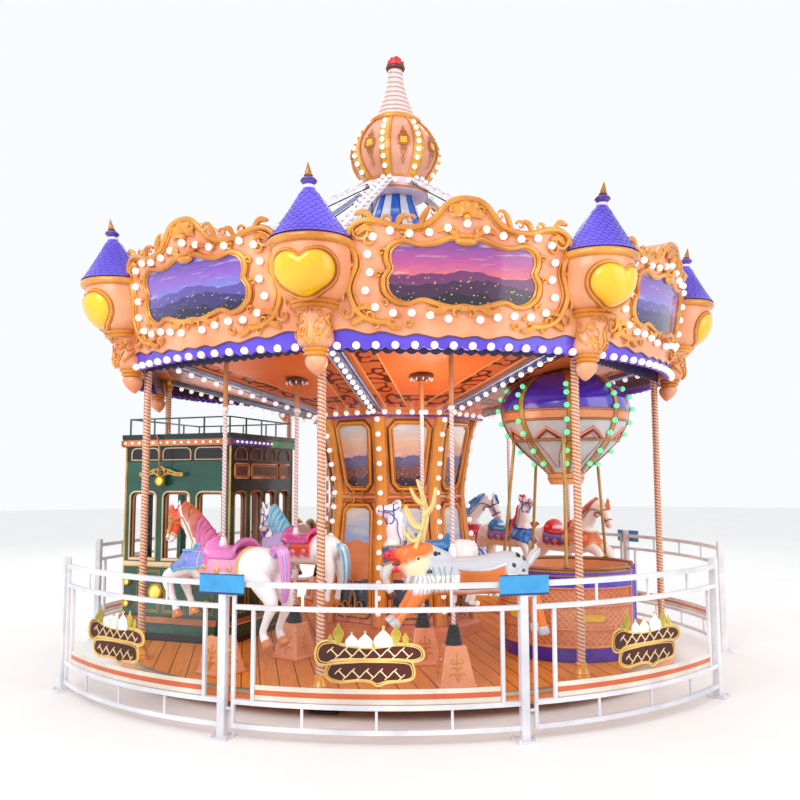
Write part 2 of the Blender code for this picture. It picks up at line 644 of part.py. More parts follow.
def build():
    for old in list(bpy.data.objects):
        bpy.data.objects.remove(old)

    steel = material("dark_steel", (0.10, 0.10, 0.11), 0.5, 0.8)
    white_steel = material("white_steel", (0.80, 0.80, 0.80), 0.35, 0.1)
    wood = material("deck_wood", (0.62, 0.28, 0.08), 0.45)
    peach = material("peach_shell", (0.85, 0.42, 0.22), 0.35)
    orange = material("orange_shell", (0.80, 0.22, 0.04), 0.35)
    gold = material("gold_paint", (0.85, 0.50, 0.14), 0.35, 0.3)
    green = material("tram_green", (0.02, 0.15, 0.10), 0.3)
    blue = material("tent_blue", (0.05, 0.25, 0.65), 0.4)
    purple = material("balloon_purple", (0.16, 0.05, 0.55), 0.25)
    white = material("horse_white", (0.85, 0.83, 0.80), 0.3)
    brown = material("plaque_brown", (0.12, 0.05, 0.03), 0.4)

    place("base_frame", mesh_of(base_frame(), "base_frame"), steel)
    place("slewing_bearing", mesh_of(bearing(), "slewing_bearing"), steel)
    place("platform_deck", mesh_of(platform(), "platform_deck"), wood)
    place("centre_core", mesh_of(core(), "centre_core"), orange)
    place("ceiling", mesh_of(ceiling(), "ceiling"), orange)
    place("roof_tent", mesh_of(roof(), "roof_tent"), blue)
    place("mast_and_crown", mesh_of(mast_and_crown(), "mast_and_crown"), peach)
    place("spire", mesh_of(spire(), "spire"), peach)

    panel_mesh = mesh_of(cornice_panel(), "cornice_panel")
    turret_mesh = mesh_of(turret(), "turret")
    column_mesh = mesh_of(column(), "outer_column")
    for side in range(SIDES):
        place(f"cornice_panel_{side + 1}", panel_mesh, peach, turn(side * 45.0))
        place(f"turret_{side + 1}", turret_mesh, gold, turn(side * 45.0 + 22.5))
        place(f"outer_column_{side + 1}", column_mesh, gold, turn(side * 45.0 + 22.5))

    place("balloon", mesh_of(balloon(), "balloon"), purple, gondola_place())
    place("balloon_frame", mesh_of(balloon_frame(), "balloon_frame"), gold, gondola_place())
    place("gondola_basket", mesh_of(gondola(), "gondola_basket"), orange, gondola_place())

    tram_matrix = Matrix.Translation(polar(TRAM_CENTRE_RADIUS, TRAM_CENTRE_ANGLE)) @ turn(TRAM_FACING)
    place("tram_car", mesh_of(tram(), "tram_car"), green, tram_matrix)

    for name, radius, angle, lift in seats():
        is_outer = radius == OUTER_ROW
        side_view = KINDS.get(name, JUMPING if is_outer else TUCKED)
        label = "reindeer" if side_view is REINDEER else f"horse_{name}"
        made = animal(side_view, 1.0 if is_outer else INNER_SIZE)
        place(label, mesh_of(made, label), white, animal_matrix(radius, angle, lift))

    bay_mesh = mesh_of(fence_bay(False), "fence_bay")
    first_mesh = mesh_of(fence_bay(True), "fence_first_bay")
    for run, first, count in (("front", FRONT_START, FRONT_BAYS), ("back", BACK_START, BACK_BAYS)):
        for bay in range(count):
            place(f"fence_{run}_{bay + 1}", bay_mesh if bay else first_mesh, white_steel,
                  turn(first + bay * FENCE_BAY))
    plaque_mesh = mesh_of(plaque(), "plaque")
    for bay in range(FRONT_BAYS):
        place(f"plaque_{bay + 1}", plaque_mesh, brown, turn(FRONT_START + (bay + 0.5) * FENCE_BAY))


build()
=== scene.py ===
import math
import random

import bpy
from mathutils import Matrix, Vector
from mathutils.bvhtree import BVHTree


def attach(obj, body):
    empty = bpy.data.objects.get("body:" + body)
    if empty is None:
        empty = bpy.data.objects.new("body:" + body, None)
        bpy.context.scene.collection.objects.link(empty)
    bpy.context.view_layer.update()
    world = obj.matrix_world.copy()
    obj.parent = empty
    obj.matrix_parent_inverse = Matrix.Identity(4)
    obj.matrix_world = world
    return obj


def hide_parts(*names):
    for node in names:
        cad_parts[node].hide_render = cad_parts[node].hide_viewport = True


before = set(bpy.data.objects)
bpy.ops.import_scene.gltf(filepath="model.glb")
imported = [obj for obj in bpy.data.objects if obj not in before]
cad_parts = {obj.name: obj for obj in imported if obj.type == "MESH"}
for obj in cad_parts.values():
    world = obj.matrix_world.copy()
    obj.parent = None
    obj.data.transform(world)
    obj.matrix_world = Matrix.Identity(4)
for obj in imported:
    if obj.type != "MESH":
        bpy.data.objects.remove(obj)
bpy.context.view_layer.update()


# The studio: a pale floor, an even sky and soft lamps. The camera stands at eye height a little
# to the left of the front panel, where the photographer stood.
CAMERA_PLACE = (-1.511, -8.387, 1.655)
CAMERA_PITCH = 5.52
CAMERA_TURN = -10.448
CAMERA_ROLL = 0.2
LAMPS = (("key", (-7.0, -9.0, 7.5), 6.5, 560.0), ("fill", (7.5, -9.0, 4.0), 7.0, 260.0),
         ("rear", (1.0, 10.0, 9.0), 8.0, 380.0))
GLOW_RADIUS, GLOW_HEIGHT, GLOW_POWER = 1.75, 2.15, 12.0


class Value:
    """An output of a node in a finish. Sums and products of it add Math nodes."""

    def __init__(self, finish, socket):
        self.finish, self.socket = finish, socket

    def math(self, operation, *others, clamp=False):
        inputs = dict(enumerate((self, *others)))
        return self.finish.node("ShaderNodeMath", {"operation": operation, "use_clamp": clamp}, inputs)

    def __add__(self, other):
        return self.math('ADD', other)

    def __mul__(self, other):
        return self.math('MULTIPLY', other)

    def __sub__(self, other):
        return self.math('SUBTRACT', other)

    def __rsub__(self, other):
        inputs = {0: other, 1: self}
        return self.finish.node("ShaderNodeMath", {"operation": 'SUBTRACT'}, inputs)

    def __gt__(self, other):
        return self.math('GREATER_THAN', other)

    def __lt__(self, other):
        return self.math('LESS_THAN', other)

    __radd__, __rmul__ = __add__, __mul__

    def fract(self):
        return self.math('FRACT')


class Finish:
    """A finish as it is mixed: the material, its nodes and its shader."""

    def __init__(self, name, **constants):
        self.material = bpy.data.materials.new(name)
        self.material.use_nodes = True
        self.tree = self.material.node_tree
        self.shader = self.tree.nodes["Principled BSDF"]
        for socket, value in constants.items():
            self.feed(self.shader.inputs[socket.replace("_", " ")], value)

    def feed(self, socket, value):
        if isinstance(value, Value):
            self.tree.links.new(value.socket, socket)
        else:
            if isinstance(value, tuple) and len(value) == 3 and socket.type == 'RGBA':
                value = (*value, 1.0)
            socket.default_value = value

    def node(self, kind, settings=None, inputs=None, output=0):
        made = self.tree.nodes.new(kind)
        for key, value in (settings or {}).items():
            if key == "stops":
                ramp = made.color_ramp
                for number, (place, colour) in enumerate(value):
                    stop = ramp.elements[number] if number < 2 else ramp.elements.new(place)
                    stop.position, stop.color = place, (*colour, 1.0)
            else:
                setattr(made, key, value)
        for key, value in (inputs or {}).items():
            self.feed(made.inputs[key], value)
        return Value(self, made.outputs[output])

    def place(self, output="Object"):
        return self.node("ShaderNodeTexCoord", output=output)

    def noise(self, scale, detail=3.0, vector=None):
        return self.node("ShaderNodeTexNoise", None,
                         {"Vector": vector or self.place(), "Scale": scale, "Detail": detail})

    def mix(self, mask, low, high):
        return self.node("ShaderNodeMix", {"data_type": 'RGBA'}, {0: mask, 6: low, 7: high}, 2)

    def axes(self, vector=None):
        parted = self.node("ShaderNodeSeparateXYZ", None, {0: vector or self.place()}).socket.node
        return [Value(self, socket) for socket in parted.outputs]

    def set(self, **sockets):
        for socket, value in sockets.items():
            self.feed(self.shader.inputs[socket.replace("_", " ")], value)
        return self

    def bump(self, height, strength=0.2, distance=0.002):
        made = self.node("ShaderNodeBump", None,
                         {"Height": height, "Strength": strength, "Distance": distance})
        return self.set(Normal=made)


def tint(code):
    """Linear colour of a paint chart's six-digit code."""
    parts = [int(code[i:i + 2], 16) / 255 for i in (0, 2, 4)]
    return tuple(p / 12.92 if p <= 0.04045 else ((p + 0.055) / 1.055) ** 2.4 for p in parts)


def scaled(colour, by):
    return tuple(min(c * by, 1.0) for c in colour)


def select_only(*pieces):
    bpy.ops.object.select_all(action='DESELECT')
    for piece in pieces:
        piece.select_set(True)
    if pieces:
        bpy.context.view_layer.objects.active = pieces[0]


def painted(name, code, shade="", roughness=0.32, coat=0.3, metallic=0.0, peel=0.12):
    """Sprayed paint: cloudy colour, faint orange peel and patches rubbed dull."""
    made = Finish(name, Metallic=metallic, Coat_Weight=coat, Coat_Roughness=0.08)
    colour = tint(code)
    low = tint(shade) if shade else scaled(colour, 0.72)
    cloud = made.noise(2.6, 4.0).math('SUBTRACT', 0.32).math('MULTIPLY', 2.6, clamp=True)
    grime = made.noise(14.0, 5.0).math('SUBTRACT', 0.60).math('MULTIPLY', 4.0, clamp=True)
    base = made.mix(cloud, low, colour)
    made.set(Base_Color=made.mix(grime * 0.35, base, scaled(low, 0.6)),
             Roughness=made.noise(9.0) * 0.22 + (roughness - 0.09))
    return made.bump(made.noise(150.0, 2.0), peel, 0.001).material


def dressed(piece, *materials):
    piece.data.materials.clear()
    for material in materials:
        piece.data.materials.append(material)
    return piece


select_only()
bpy.ops.mesh.primitive_circle_add(vertices=96, radius=45.0, fill_type='NGON')
floor = bpy.context.object
floor.name = "floor"
floor_paint = Finish("floor_paint", Roughness=0.7)
floor_paint.set(Base_Color=floor_paint.mix(floor_paint.noise(0.6), tint("efedea"), tint("f6f5f3")))
floor_paint.bump(floor_paint.noise(30.0), 0.05)
dressed(floor, floor_paint.material)

camera_data = bpy.data.cameras.new("camera")
camera_data.lens, camera_data.sensor_width = 37.33, 36.0
camera = bpy.data.objects.new("camera", camera_data)
bpy.context.scene.collection.objects.link(camera)
camera.location = CAMERA_PLACE
camera.rotation_euler = [math.radians(a) for a in (90.0 + CAMERA_PITCH, CAMERA_ROLL, CAMERA_TURN)]
bpy.context.scene.camera = camera

for lamp_name, lamp_place, lamp_size, lamp_power in LAMPS:
    lamp_data = bpy.data.lights.new(lamp_name, 'AREA')
    lamp_data.size, lamp_data.energy = lamp_size, lamp_power
    lamp = bpy.data.objects.new(lamp_name, lamp_data)
    bpy.context.scene.collection.objects.link(lamp)
    lamp.location = lamp_place
    lamp.rotation_euler = (Vector((0, 0, 1.8)) - lamp.location).to_track_quat('-Z', 'Y').to_euler()

for quarter in range(4):
    glow_data = bpy.data.lights.new(f"glow_{quarter + 1}", 'POINT')
    glow_data.energy, glow_data.shadow_soft_size, glow_data.color = GLOW_POWER, 0.35, (1.0, 0.90, 0.78)
    glow = bpy.data.objects.new(f"glow_{quarter + 1}", glow_data)
    bpy.context.scene.collection.objects.link(glow)
    glow.location = (GLOW_RADIUS * math.sin(quarter * math.pi / 2),
                     -GLOW_RADIUS * math.cos(quarter * math.pi / 2), GLOW_HEIGHT)
    glow.visible_camera = False

sky = bpy.data.worlds.new("sky")
bpy.context.scene.world = sky
sky.use_nodes = True
sky.node_tree.nodes["Background"].inputs[0].default_value = (0.95, 0.97, 1.0, 1.0)
sky.node_tree.nodes["Background"].inputs[1].default_value = 1.0
bpy.context.scene.view_settings.view_transform = 'Standard'


# The ground frame: a welded steel spider on footplates under the platform, and the geared ring
# that the platform turns on. Both are shop-painted dark and dusty.
spider_paint = painted("spider_paint", "3c3b3e", "28272a", roughness=0.55, coat=0.0)
for node in ("base_frame", "slewing_bearing"):
    dressed(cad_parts[node], spider_paint)


# The ring fence: curved bays of white powder-coated square tube. Each bay has two pairs of rails
# with stub balusters, a clear infill sheet between inner uprights and a striped kick strip.
FENCE_RADIUS = 3.165
BAY_ANGLE = 36.0
BAY_START = 1.45                # thin upright that starts a bay, past the last bay's post
INFILL_SPAN = (4.0, 33.4)
RUNS = (("front", -67.3, 3), ("back", 73.2, 5))
RAIL_HEIGHTS = ((0.965, 1.0), (0.82, 0.85), (0.22, 0.25), (0.07, 0.10))


def polar(radius, angle, z=0.0):
    turned_by = math.radians(angle)
    return Vector((radius * math.sin(turned_by), -radius * math.cos(turned_by), z))


def turn(angle):
    return Matrix.Rotation(math.radians(angle), 4, 'Z')


def sharpened(piece, angle=35.0):
    select_only(piece)
    bpy.ops.object.shade_smooth_by_angle(angle=math.radians(angle))
    return piece


def formed(name, columns, rows, shape, angle=35.0):
    """A grid of faces bent to shape(u, v), with u and v from 0 to 1; edges that meet are merged."""
    select_only()
    bpy.ops.mesh.primitive_grid_add(x_subdivisions=columns, y_subdivisions=rows, size=1.0)
    piece = bpy.context.object
    piece.name = name
    for corner in piece.data.vertices:
        corner.co = shape(corner.co.x + 0.5, corner.co.y + 0.5)
    bpy.ops.object.mode_set(mode='EDIT')
    bpy.ops.mesh.select_all(action='SELECT')
    bpy.ops.mesh.remove_doubles(threshold=0.00002)
    bpy.ops.mesh.normals_make_consistent(inside=False)
    bpy.ops.object.mode_set(mode='OBJECT')
    return sharpened(piece, angle)


def lofted(name, rings, capped=True, angle=35.0):
    """A skin through closed rings of points, all with the same number of points."""
    count = len(rings[0])
    if capped:
        ends = [sum((Vector(p) for p in rings[k]), Vector()) / count for k in (0, -1)]
        rings = [[ends[0]] * count, *rings, [ends[1]] * count]
    last = len(rings) - 1
    return formed(name, last, count,
                  lambda u, v: rings[round(u * last)][round(v * count) % count], angle)


def circle(radius, z, sides, centre=(0.0, 0.0), phase=0.0):
    steps = [2 * math.pi * (i + phase) / sides for i in range(sides)]
    return [Vector((centre[0] + radius * math.sin(a), centre[1] - radius * math.cos(a), z))
            for a in steps]


def turned(name, profile, sides=32, centre=(0.0, 0.0), phase=0.0, angle=35.0):
    """A body turned about an upright axis through (radius, height) pairs."""
    return lofted(name, [circle(r, z, sides, centre, phase) for r, z in profile], angle=angle)


def block(name, low, high, rounding=0.003):
    """A block between two corners with eased edges."""
    select_only()
    bpy.ops.mesh.primitive_cube_add(size=2.0)
    piece = bpy.context.object
    piece.name = name
    for corner in piece.data.vertices:
        corner.co = [h if c > 0 else l for c, l, h in zip(corner.co, low, high)]
    if rounding:
        bpy.ops.object.mode_set(mode='EDIT')
        bpy.ops.mesh.select_all(action='SELECT')
        bpy.ops.mesh.bevel(offset=rounding, segments=1, affect='EDGES')
        bpy.ops.object.mode_set(mode='OBJECT')
    return piece


def placed(piece, matrix):
    piece.data.transform(matrix)
    return piece


def joined(name, pieces):
    select_only(*pieces)
    if len(pieces) > 1:
        bpy.ops.object.join()
    pieces[0].name = name
    return pieces[0]


def copied(piece, name, matrix):
    twin = piece.copy()
    twin.data = piece.data.copy()
    twin.name = name
    bpy.context.scene.collection.objects.link(twin)
    return placed(twin, matrix)


def repeated(piece, name, places):
    """Copies of a pattern piece at each place, as one piece; the pattern itself goes."""
    made = joined(name, [copied(piece, f"{name}_{n}", place) for n, place in enumerate(places)])
    bpy.data.objects.remove(piece)
    return made


def fitted(piece, body, slot, *nodes):
    """Let a finished piece ride on its body and stand for its nodes; the slot is not used."""
    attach(piece, body)
    if nodes:
        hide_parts(*nodes)
    return piece


def arc_bar(name, radius, half, low, high, start, end, steps):
    rings = []
    for k in range(steps + 1):
        a = start + (end - start) * k / steps
        rings.append([polar(radius - half, a, low), polar(radius + half, a, low),
                      polar(radius + half, a, high), polar(radius - half, a, high)])
    return lofted(name, rings)


def fence_upright(angle, low, high, half):
    made = block("upright", (-half, -FENCE_RADIUS - half, low), (half, -FENCE_RADIUS + half, high))
    return placed(made, turn(angle))


def fence_post(angle):
    parts = [block("post", (-0.028, -FENCE_RADIUS - 0.028, 0.005),
                   (0.028, -FENCE_RADIUS + 0.028, 1.05), 0.005),
             block("post_foot", (-0.075, -FENCE_RADIUS - 0.075, 0.0),
                   (0.075, -FENCE_RADIUS + 0.075, 0.012))]
    for x in (-0.055, 0.055):
        for y in (-0.055, 0.055):
            parts.append(turned("bolt", ((0.012, 0.012), (0.012, 0.022), (0.006, 0.026)), 6,
                                (x, -FENCE_RADIUS + y)))
    return placed(joined("post", parts), turn(angle))


powder = painted("powder_coat", "f1f0f2", "c9c8cf", roughness=0.3, coat=0.2)
clear = Finish("clear_sheet", Roughness=0.05, IOR=1.35, Transmission_Weight=0.0)
clear.set(Base_Color=clear.mix(clear.noise(3.0), tint("e6f0ef"), tint("ffffff")),
          Alpha=clear.noise(5.0) * 0.02 + 0.006)
strip_cream = painted("strip_cream", "eee6da", "c8b9a6", roughness=0.35)
strip_orange = painted("strip_orange", "e0662a", "b8481c", roughness=0.35)

bay_parts = [arc_bar("rail", FENCE_RADIUS, 0.0175, low, high, BAY_START, BAY_ANGLE, 12)
             for low, high in RAIL_HEIGHTS]
for share in (0.25, 0.5, 0.75):
    at = BAY_START + (BAY_ANGLE - BAY_START) * share
    bay_parts += [fence_upright(at, 0.845, 0.97, 0.0085), fence_upright(at, 0.095, 0.225, 0.0085)]
bay_parts += [fence_upright(BAY_START, 0.07, 1.0, 0.0125),
              fence_upright(INFILL_SPAN[0], 0.245, 0.825, 0.0125),
              fence_upright(INFILL_SPAN[1], 0.245, 0.825, 0.0125), fence_post(BAY_ANGLE)]
for height in (0.18, 0.90):
    bay_parts.append(arc_bar("hinge_pin", FENCE_RADIUS, 0.008, height, height + 0.016, 0.4, BAY_START, 2))
bay_frame = dressed(joined("bay_frame", bay_parts), powder)
start_post = dressed(fence_post(0.0), powder)
sheet = dressed(arc_bar("infill", FENCE_RADIUS, 0.003, 0.248, 0.822, *INFILL_SPAN, 14), clear.material)
strips = [arc_bar("kick_strip", FENCE_RADIUS + 0.0045, 0.0015, low, high,
                  INFILL_SPAN[0] + 0.3, INFILL_SPAN[1] - 0.3, 14)
          for low, high in ((0.255, 0.285), (0.287, 0.317), (0.319, 0.349))]
for strip, look in zip(strips, (strip_cream, strip_orange, strip_cream)):
    dressed(strip, look)
kick_strip = joined("kick_strip", strips)

for run, first, count in RUNS:
    for bay in range(count):
        name, at = f"fence_{run}_{bay + 1}", turn(first + bay * BAY_ANGLE)
        parts = [copied(bay_frame, name, at)]
        if bay == 0:
            parts.append(copied(start_post, "start_post", at))
        fitted(joined(f"{name}_tubes", parts), "ground", "white_steel", name)
        fitted(copied(sheet, f"{name}_sheet", at), "ground", "white_steel")
        fitted(copied(kick_strip, f"{name}_kick_strip", at), "ground", "white_steel")
for pattern in (bay_frame, start_post, sheet, kick_strip):
    bpy.data.objects.remove(pattern)


# Blank enamel plates hang on the second and third front posts and on one at the back, where the
# hire firm's plates are. They are folded steel sheet with a darker border.
plate_enamel = Finish("plate_enamel", Roughness=0.2, Coat_Weight=0.5)
plate_navy = painted("plate_navy", "1c3a78", "142a5c", roughness=0.3, coat=0.3)
plate_enamel.set(Base_Color=plate_enamel.mix(plate_enamel.noise(12.0), tint("1f7fc4"), tint("35a8e0")))
for number, angle in enumerate((-31.3, 4.7, 109.2), start=1):
    plate = block("plate", (-0.17, -FENCE_RADIUS - 0.034, 0.915), (0.17, -FENCE_RADIUS - 0.0285, 1.045),
                  0.002)
    dressed(plate, plate_enamel.material)
    borders = [dressed(block("border", (-0.171, -FENCE_RADIUS - 0.0345, low),
                             (0.171, -FENCE_RADIUS - 0.028, low + size)), plate_navy)
               for low, size in ((0.914, 0.016), (1.037, 0.009))]
    plate = placed(joined(f"blank_plate_{number}", [plate, *borders]), turn(angle))
    fitted(plate, "ground", "white_steel")


# The platform: a round timber deck on steel, edged with an orange fascia and a worn metal nosing.
DECK_RADIUS, DECK_TOP, DECK_BOTTOM = 2.66, 0.17, 0.07
boards = Finish("deck_boards", Specular_IOR_Level=0.0)
east, north, _ = boards.axes()
plank = (east * 7.2).fract()
seam = (plank.math('SUBTRACT', 0.5).math('ABSOLUTE') > 0.475).math('MULTIPLY', 1.0)
stretch = boards.node("ShaderNodeMapping", None, {"Vector": boards.place(), "Scale": (24.0, 1.6, 8.0)})
grain = boards.noise(1.6, 6.0, stretch)
number = (east * 7.2).math('FLOOR')
board_tone = boards.node("ShaderNodeTexWhiteNoise", {"noise_dimensions": '1D'}, {"W": number})
wood = boards.mix(grain, tint("cc6a2a"), tint("f2a858"))
wood = boards.mix(board_tone * 0.35, wood, tint("d87838"))
boards.set(Base_Color=boards.mix(seam, wood, tint("4a2010")), Roughness=grain * 0.3 + 0.5)
boards.bump(grain - seam * 1.5, 0.25, 0.003)
fascia = painted("fascia_orange", "e8863c", "c65a1e", roughness=0.35)
nosing = painted("nosing_metal", "c9b79a", "8d7a60", roughness=0.35, metallic=0.6, coat=0.0)

deck = turned("deck", ((DECK_RADIUS - 0.02, DECK_BOTTOM), (DECK_RADIUS - 0.02, DECK_TOP - 0.004),
                       (DECK_RADIUS - 0.024, DECK_TOP)), 96)
fascia_band = turned("fascia", ((2.6, 0.082), (2.655, 0.082), (2.657, 0.10), (2.650, 0.112),
                                (2.650, 0.138), (2.657, 0.147), (2.6, 0.147)), 96)
nosing_band = turned("nosing", ((2.62, 0.1475), (2.659, 0.1475), (2.66, 0.155), (2.656, 0.168),
                                (2.648, 0.1705), (2.61, 0.1705), (2.61, 0.160)), 96)
fitted(dressed(deck, boards.material), "turntable", "deck_boards", "platform_deck")
fitted(dressed(fascia_band, fascia), "turntable", "orange_fibreglass")
fitted(dressed(nosing_band, nosing), "turntable", "painted_steel")


# The pedestals: peach fibreglass boxes bolted to the deck over the cranks, each with a gilt leaf
# spray on its sides and a black rubber bellows round the foot of the rod.
PAIRS = ((0.0, -2.5), (-46.0, -43.5), (111.0, 116.0), (153.0, 158.0), (-165.0, -159.0))
OUTER_ROW, INNER_ROW = 2.34, 1.58

peach = painted("peach_gloss", "f0a878", "e07c48", roughness=0.28, coat=0.4)
gilt = painted("gilt_paint", "f2a63c", "b8641c", roughness=0.25, coat=0.5, metallic=0.25)
rubber = painted("bellows_rubber", "1d1b1e", "0c0b0d", roughness=0.6, coat=0.0)


def flowing(points, steps=6, closed=False):
    """Points of a smooth line through the given ones."""
    points = [Vector(p) for p in points]
    count = len(points)
    made = []
    for i in range(count if closed else count - 1):
        if closed:
            a, b, c, d = (points[(i + k) % count] for k in (-1, 0, 1, 2))
        else:
            a, b, c, d = (points[min(max(i + k, 0), count - 1)] for k in (-1, 0, 1, 2))
        for step in range(steps):
            t = step / steps
            made.append(0.5 * (2 * b + (c - a) * t + (2 * a - 5 * b + 4 * c - d) * t * t
                               + (3 * b - a - 3 * c + d) * t ** 3))
    return made if closed else made + [points[-1]]


def tubes(name, lines, radius, resolution=1, closed=False, swell=None):
    """Round bars along lines of points; swell(share) thickens or thins them along the way."""
    curve = bpy.data.curves.new(name, 'CURVE')
    curve.dimensions = '3D'
    curve.bevel_depth, curve.bevel_resolution = radius, resolution
    curve.use_fill_caps = True
    for line in lines:
        spline = curve.splines.new('POLY')
        spline.points.add(len(line) - 1)
        for number, (point, place) in enumerate(zip(spline.points, line)):
            point.co = (*place, 1.0)
            point.radius = swell(number / (len(line) - 1)) if swell else 1.0
        spline.use_cyclic_u = closed
    piece = bpy.data.objects.new(name, curve)
    bpy.context.scene.collection.objects.link(piece)
    select_only(piece)
    bpy.ops.object.convert(target='MESH')
    return sharpened(bpy.context.object, 50.0)


def curl(centre, start_angle, radius, turns, steps=14, inner=0.2):
    """A flat spiral of points that winds in to its centre."""
    made = []
    for k in range(steps + 1):
        share = k / steps
        a = math.radians(start_angle) + turns * 2 * math.pi * share
        r = radius * (1 - (1 - inner) * share)
        made.append((centre[0] + r * math.cos(a), centre[1] + r * math.sin(a)))
    return made


def thinning(share):
    return 1.0 - 0.6 * share


box_part = lofted("pedestal", [[(-w, -w, z), (w, -w, z), (w, w, z), (-w, w, z)]
                               for w, z in ((0.14, 0.17), (0.14, 0.192), (0.128, 0.198), (0.078, 0.452),
                                            (0.070, 0.458))])
select_only(box_part)
bevel = box_part.modifiers.new("Bevel", 'BEVEL')
bevel.width, bevel.segments, bevel.angle_limit = 0.008, 2, math.radians(40)
bpy.ops.object.modifier_apply(modifier="Bevel")
sprays = []
for side in range(4):
    leaves = []
    for mirror in (-1, 1):
        leaves.append([(mirror * x, z) for x, z in curl((0.028, 0.36), 180, 0.028, 0.8, 10)])
        leaves.append([(mirror * x, z)
                       for x, z in ((0.0, 0.24), (0.02, 0.27), (0.045, 0.275), (0.062, 0.255))])
        leaves.append([(mirror * x, z) for x, z in ((0.0, 0.30), (0.025, 0.315), (0.05, 0.31))])
    leaves.append([(0.0, 0.22), (0.0, 0.30), (0.0, 0.405)])
    lines = [[(x, -(0.130 - (z - 0.198) * 0.197), z) for x, z in line] for line in leaves]
    sprays.append(placed(tubes("spray", lines, 0.008, swell=thinning), turn(side * 90)))
sprays = dressed(joined("spray", sprays), gilt)
ribs = [(0.062, 0.455)]
for fold in range(9):
    low = 0.462 + fold * 0.0145
    size = 0.066 - fold * 0.0028
    ribs += [(size, low + 0.003), (size - 0.014, low + 0.010)]
ribs += [(0.034, 0.592), (0.034, 0.600), (0.022, 0.600)]
bellows = dressed(turned("bellows", ribs, 18), rubber)
dressed(box_part, peach)
seats = []
for number, (outer, inner) in enumerate(PAIRS, start=1):
    outer_lift, inner_lift = ((0.03, 0.07), (0.0, 0.03))[number % 2]
    seats.append((f"outer_{number}", OUTER_ROW, outer, outer_lift))
    seats.append((f"inner_{number}", INNER_ROW, inner, inner_lift))
feet = [turn(angle) @ Matrix.Translation((0, -radius, 0)) for _, radius, angle, _ in seats]
fitted(repeated(box_part, "pedestals", feet), "turntable", "peach_fibreglass")
fitted(repeated(sprays, "pedestal_sprays", feet), "turntable", "gilt_column")
fitted(repeated(bellows, "bellows_covers", feet), "turntable", "painted_steel")


# The eight outer columns: steel tube sleeved in a twisted peach and cream moulding, on a flared
# gilt foot, with a gilt collar under the ceiling.
POLE_RING = 2.555
CEILING_BOTTOM = 2.74
COLUMN_TURNS, ROD_TURNS = 85, 66


def twisted_finish(name, ridge, groove, stripe, turns, starts):
    """Paint that winds round a rod with its ridges: a pale ridge, a stripe and painted shade in the
    groove.
    """
    made = Finish(name, Coat_Weight=0.4, Metallic=0.15)
    along, around, _ = made.axes(made.place("UV"))
    wave = (around * starts + along * turns).fract()
    ramp = made.node("ShaderNodeValToRGB",
                     {"stops": ((0.0, tint(groove)), (0.25, tint(stripe)), (0.5, tint(ridge)),
                                (0.75, tint(stripe)), (1.0, tint(groove)))}, {0: wave})
    made.set(Base_Color=made.mix(made.noise(20.0) * 0.3, ramp, scaled(tint(groove), 0.8)),
             Roughness=made.noise(30.0) * 0.2 + 0.2)
    return made.material


def twisted_rod(name, radius, low, high, turns, starts, columns, depth=0.10):
    """A rod whose ridges wind round it."""
    rows = int(turns * 5)

    def shape(u, v):
        swell = 1.0 - depth + depth * math.cos(2 * math.pi * (starts * v + turns * u - 0.5))
        a = 2 * math.pi * v
        return Vector((radius * swell * math.sin(a), -radius * swell * math.cos(a),
                       low + (high - low) * u))
    return formed(name, rows, columns, shape, 60.0)


# The column's dark brown grooves are painted shade; peach and cream are its own colours.
column_paint = twisted_finish("column_twist", "f8dcc0", "9c4c30", "ecaa84", COLUMN_TURNS, 2)
column = twisted_rod("column", 0.034, DECK_TOP + 0.09, CEILING_BOTTOM - 0.03, COLUMN_TURNS, 2, 12)
dressed(column, column_paint)
foot = turned("column_foot", ((0.062, DECK_TOP), (0.062, DECK_TOP + 0.02), (0.056, DECK_TOP + 0.035),
                              (0.060, DECK_TOP + 0.045), (0.044, DECK_TOP + 0.075),
                              (0.040, DECK_TOP + 0.10), (0.044, DECK_TOP + 0.112),
                              (0.036, DECK_TOP + 0.12)), 20)
collar = turned("column_collar", ((0.036, CEILING_BOTTOM - 0.09), (0.046, CEILING_BOTTOM - 0.08),
                                  (0.046, CEILING_BOTTOM - 0.065), (0.040, CEILING_BOTTOM - 0.055),
                                  (0.058, CEILING_BOTTOM - 0.02), (0.058, CEILING_BOTTOM - 0.0005)), 20)
ends = dressed(joined("ends", [foot, collar]), gilt)
for side in range(8):
    at = turn(side * 45.0 + 22.5) @ Matrix.Translation((0, -POLE_RING, 0))
    fitted(copied(column, f"outer_column_{side + 1}_twist", at), "turntable", "gilt_column",
           f"outer_column_{side + 1}")
    fitted(copied(ends, f"outer_column_{side + 1}_ends", at), "turntable", "gilt_column")
for pattern in (column, ends):
    bpy.data.objects.remove(pattern)


# The centre core: an eight-sided waisted housing of moulded panels round the drive. Each face has
# two framed pictures, and bulbs run up the ribs that cover its corners and along its top ledge.
CORE_PROFILE = ((0.17, 0.86), (0.27, 0.86), (0.31, 0.78), (0.90, 0.74), (1.48, 0.675), (1.57, 0.675),
                (2.02, 0.745), (2.25, 0.81), (2.33, 0.95))
EIGHTH = math.radians(22.5)


def along_profile(profile, at):
    """The second number of a list of pairs, read between them at the first."""
    for (a, low), (b, high) in zip(profile, profile[1:]):
        if at <= b:
            return low + (high - low) * max(at - a, 0.0) / (b - a)
    return profile[-1][1]


def core_radius(z):
    return along_profile(CORE_PROFILE, z)


def on_core(x, z, proud=0.0):
    return Vector((x, -core_radius(z) * math.cos(EIGHTH) - proud, z))


def picture_uv(piece, width, low, high):
    """Lay the picture's map over a piece that faces the front, before it is turned to its place."""
    layer = piece.data.uv_layers.active
    for loop in piece.data.loops:
        x, _, z = piece.data.vertices[loop.vertex_index].co
        layer.data[loop.index].uv = (x / width + 0.5, (z - low) / (high - low))


